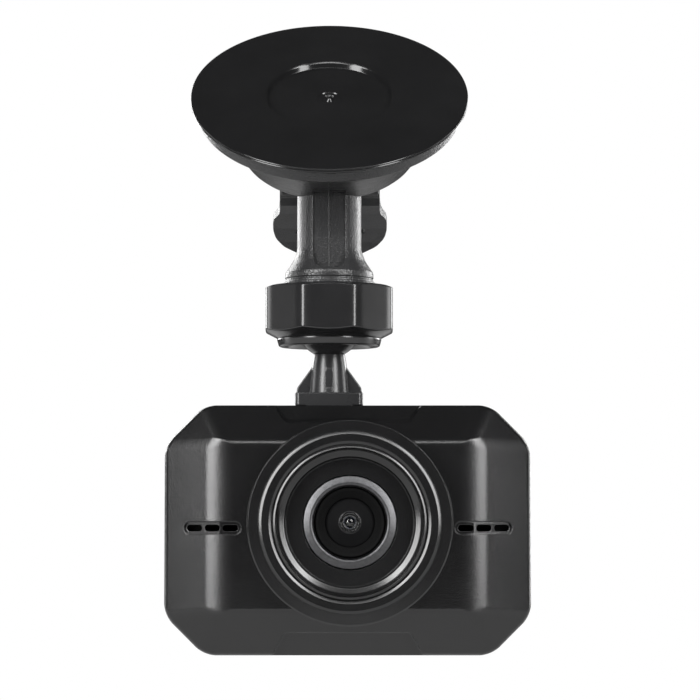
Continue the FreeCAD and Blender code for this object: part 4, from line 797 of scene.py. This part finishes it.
def screws(node, places, shank_r, shank_y0, head_y0, head_h, head_r, slot_w):
    whole = None
    for x, z in places:
        pts = [(0, shank_y0), (shank_r * 0.45, shank_y0)]
        y = shank_y0 + 0.5
        while y < head_y0 - 0.9:
            pts += [(shank_r * 0.78, y), (shank_r, y + 0.2), (shank_r * 0.78, y + 0.4)]
            y += 0.45
        pts += [(shank_r * 0.85, head_y0 - 0.3), (shank_r * 0.85, head_y0), (head_r, head_y0, 0.1), (head_r, head_y0 + head_h * 0.55, 0.25), (head_r * 0.72, head_y0 + head_h, 0.35), (0, head_y0 + head_h)]
        s = lathe(node + "_vis", pts, axis="Y", at=(x, 0, z), seg=48)
        for w, h in ((0.95, slot_w), (slot_w, 0.95)):
            cut(s, prism("x", [(x - w, z - h), (x + w, z - h), (x + w, z + h), (x - w, z + h)], head_y0 + head_h - 0.55, head_y0 + head_h + 1.0, "XZ"))
        if whole is None:
            whole = s
        else:
            bm = bmesh.new()
            bm.from_mesh(whole.data)
            bm.from_mesh(s.data)
            bm.to_mesh(whole.data)
            bm.free()
            drop(s)
    dress(whole, node, angle=30)


screws("case_screws", [(CX + s * BOSS_X, z) for s in (-1, 1) for z in BOSS_Z], 1.0, -6.5, 9.95, 1.3, 1.85, 0.19)
screws("board_screws", [(CX + x, z) for x in STAND_X for z in STAND_Z], 0.8, -1.8, 4.22, 0.95, 1.7, 0.17)
pipe = lathe("status_light_pipe_vis", [(0, 5.3), (0.9, 5.3, 0.1), (0.9, 8.3), (1.5, 8.3, 0.1), (1.5, 8.95, 0.1), (0.9, 8.95), (0.9, 12.0, 0.2), (0.6, 12.2, 0.2), (0, 12.2)], axis="Y", at=(25.0, 0, -79.5), seg=48)
dress(pipe, "status_light_pipe", angle=30)

spk = lathe("speaker_vis", [(0, -5.2), (6.5, -5.2, 0.2), (6.9, -6.9, 0.2), (8.5, -7.4, 0.2), (8.5, -9.2, 0.3), (7.4, -9.2, 0.2), (7.0, -8.9, 0.2), (3.2, -8.3, 0.3), (3.0, -8.9, 0.3), (0, -9.1)],
            axis="Y", at=(31.0, 0, -97.0), seg=96)
dress(spk, "speaker", angle=35)

# ------------------------------------------------------------------ pieces shown straight from the CAD: their own finish and rounded edges
for name, ob in NODES.items():
    if ob.hide_render:
        continue
    slot = SLOT_OF[name]
    ob.data.materials.clear()
    ob.data.materials.append(MATS[slot])

# ------------------------------------------------------------------ floor, light and camera
bm = bmesh.new()
bmesh.ops.create_circle(bm, cap_ends=True, segments=96, radius=0.55)
floor_me = bpy.data.meshes.new("floor")
bm.to_mesh(floor_me)
bm.free()
floor = bpy.data.objects.new("floor", floor_me)
floor.location = (0.0, 0.0, -0.19)
COLL.objects.link(floor)
fm, fnt, fb = nodes_of("m_floor")
fnt.links.new(ramp(fnt, noise(fnt, 6.0, 2.0), [(0.3, (0.6, 0.6, 0.6)), (0.7, (0.64, 0.64, 0.64))]), fb.inputs["Base Color"])
fb.inputs["Roughness"].default_value = 0.9
floor.data.materials.append(fm)

world = bpy.data.worlds.new("studio")
bpy.context.scene.world = world
world.use_nodes = True
wn = world.node_tree
bg = wn.nodes["Background"]
bg.inputs["Color"].default_value = (1.0, 1.0, 1.0, 1.0)
bg.inputs["Strength"].default_value = 1.0
dim = wn.nodes.new("ShaderNodeBackground")
dim.inputs["Color"].default_value = (1.0, 1.0, 1.0, 1.0)
dim.inputs["Strength"].default_value = 0.055
lp = wn.nodes.new("ShaderNodeLightPath")
mx = wn.nodes.new("ShaderNodeMixShader")
wn.links.new(lp.outputs["Is Camera Ray"], mx.inputs["Fac"])
wn.links.new(dim.outputs["Background"], mx.inputs[1])
wn.links.new(bg.outputs["Background"], mx.inputs[2])
wn.links.new(mx.outputs["Shader"], wn.nodes["World Output"].inputs["Surface"])

AIM = Vector((4.0, 0.0, -58.0)) * MM


def softbox(name, pos, w, h, watts):
    li = bpy.data.lights.new(name, "AREA")
    li.shape = "RECTANGLE"
    li.size, li.size_y = w, h
    li.energy = watts
    ob = bpy.data.objects.new(name, li)
    ob.location = Vector(pos)
    ob.rotation_mode = "QUATERNION"
    ob.rotation_quaternion = (AIM - Vector(pos)).to_track_quat("-Z", "Y")
    COLL.objects.link(ob)
    return ob


softbox("key_left", (-0.68, -0.76, 0.30), 0.34, 0.95, 15.5)
softbox("key_right", (0.67, -0.785, 0.32), 0.29, 0.95, 12.0)
softbox("top_front", (0.0, -0.90, 0.62), 1.7, 0.12, 7.5)
softbox("side_left", (-1.0, 0.30, -0.02), 0.3, 0.6, 2.5)
softbox("side_right", (1.0, 0.25, -0.02), 0.3, 0.6, 3.0)
softbox("back_left", (-0.6, 0.8, 0.25), 0.4, 0.6, 7.0)
softbox("back_right", (0.7, 0.75, 0.15), 0.3, 0.6, 6.0)

cam_data = bpy.data.cameras.new("camera")
cam_data.sensor_width = 36.0
cam_data.lens = 141.16
cam_data.clip_start = 0.02
cam_data.clip_end = 20.0
cam = bpy.data.objects.new("camera", cam_data)
cam.location = Vector((4.62, -610.0, -95.7)) * MM
cam.rotation_euler = (math.radians(90.0 + 3.586), 0.0, 0.0)
COLL.objects.link(cam)
bpy.context.scene.camera = cam
bpy.context.scene.view_settings.view_transform = "Standard"
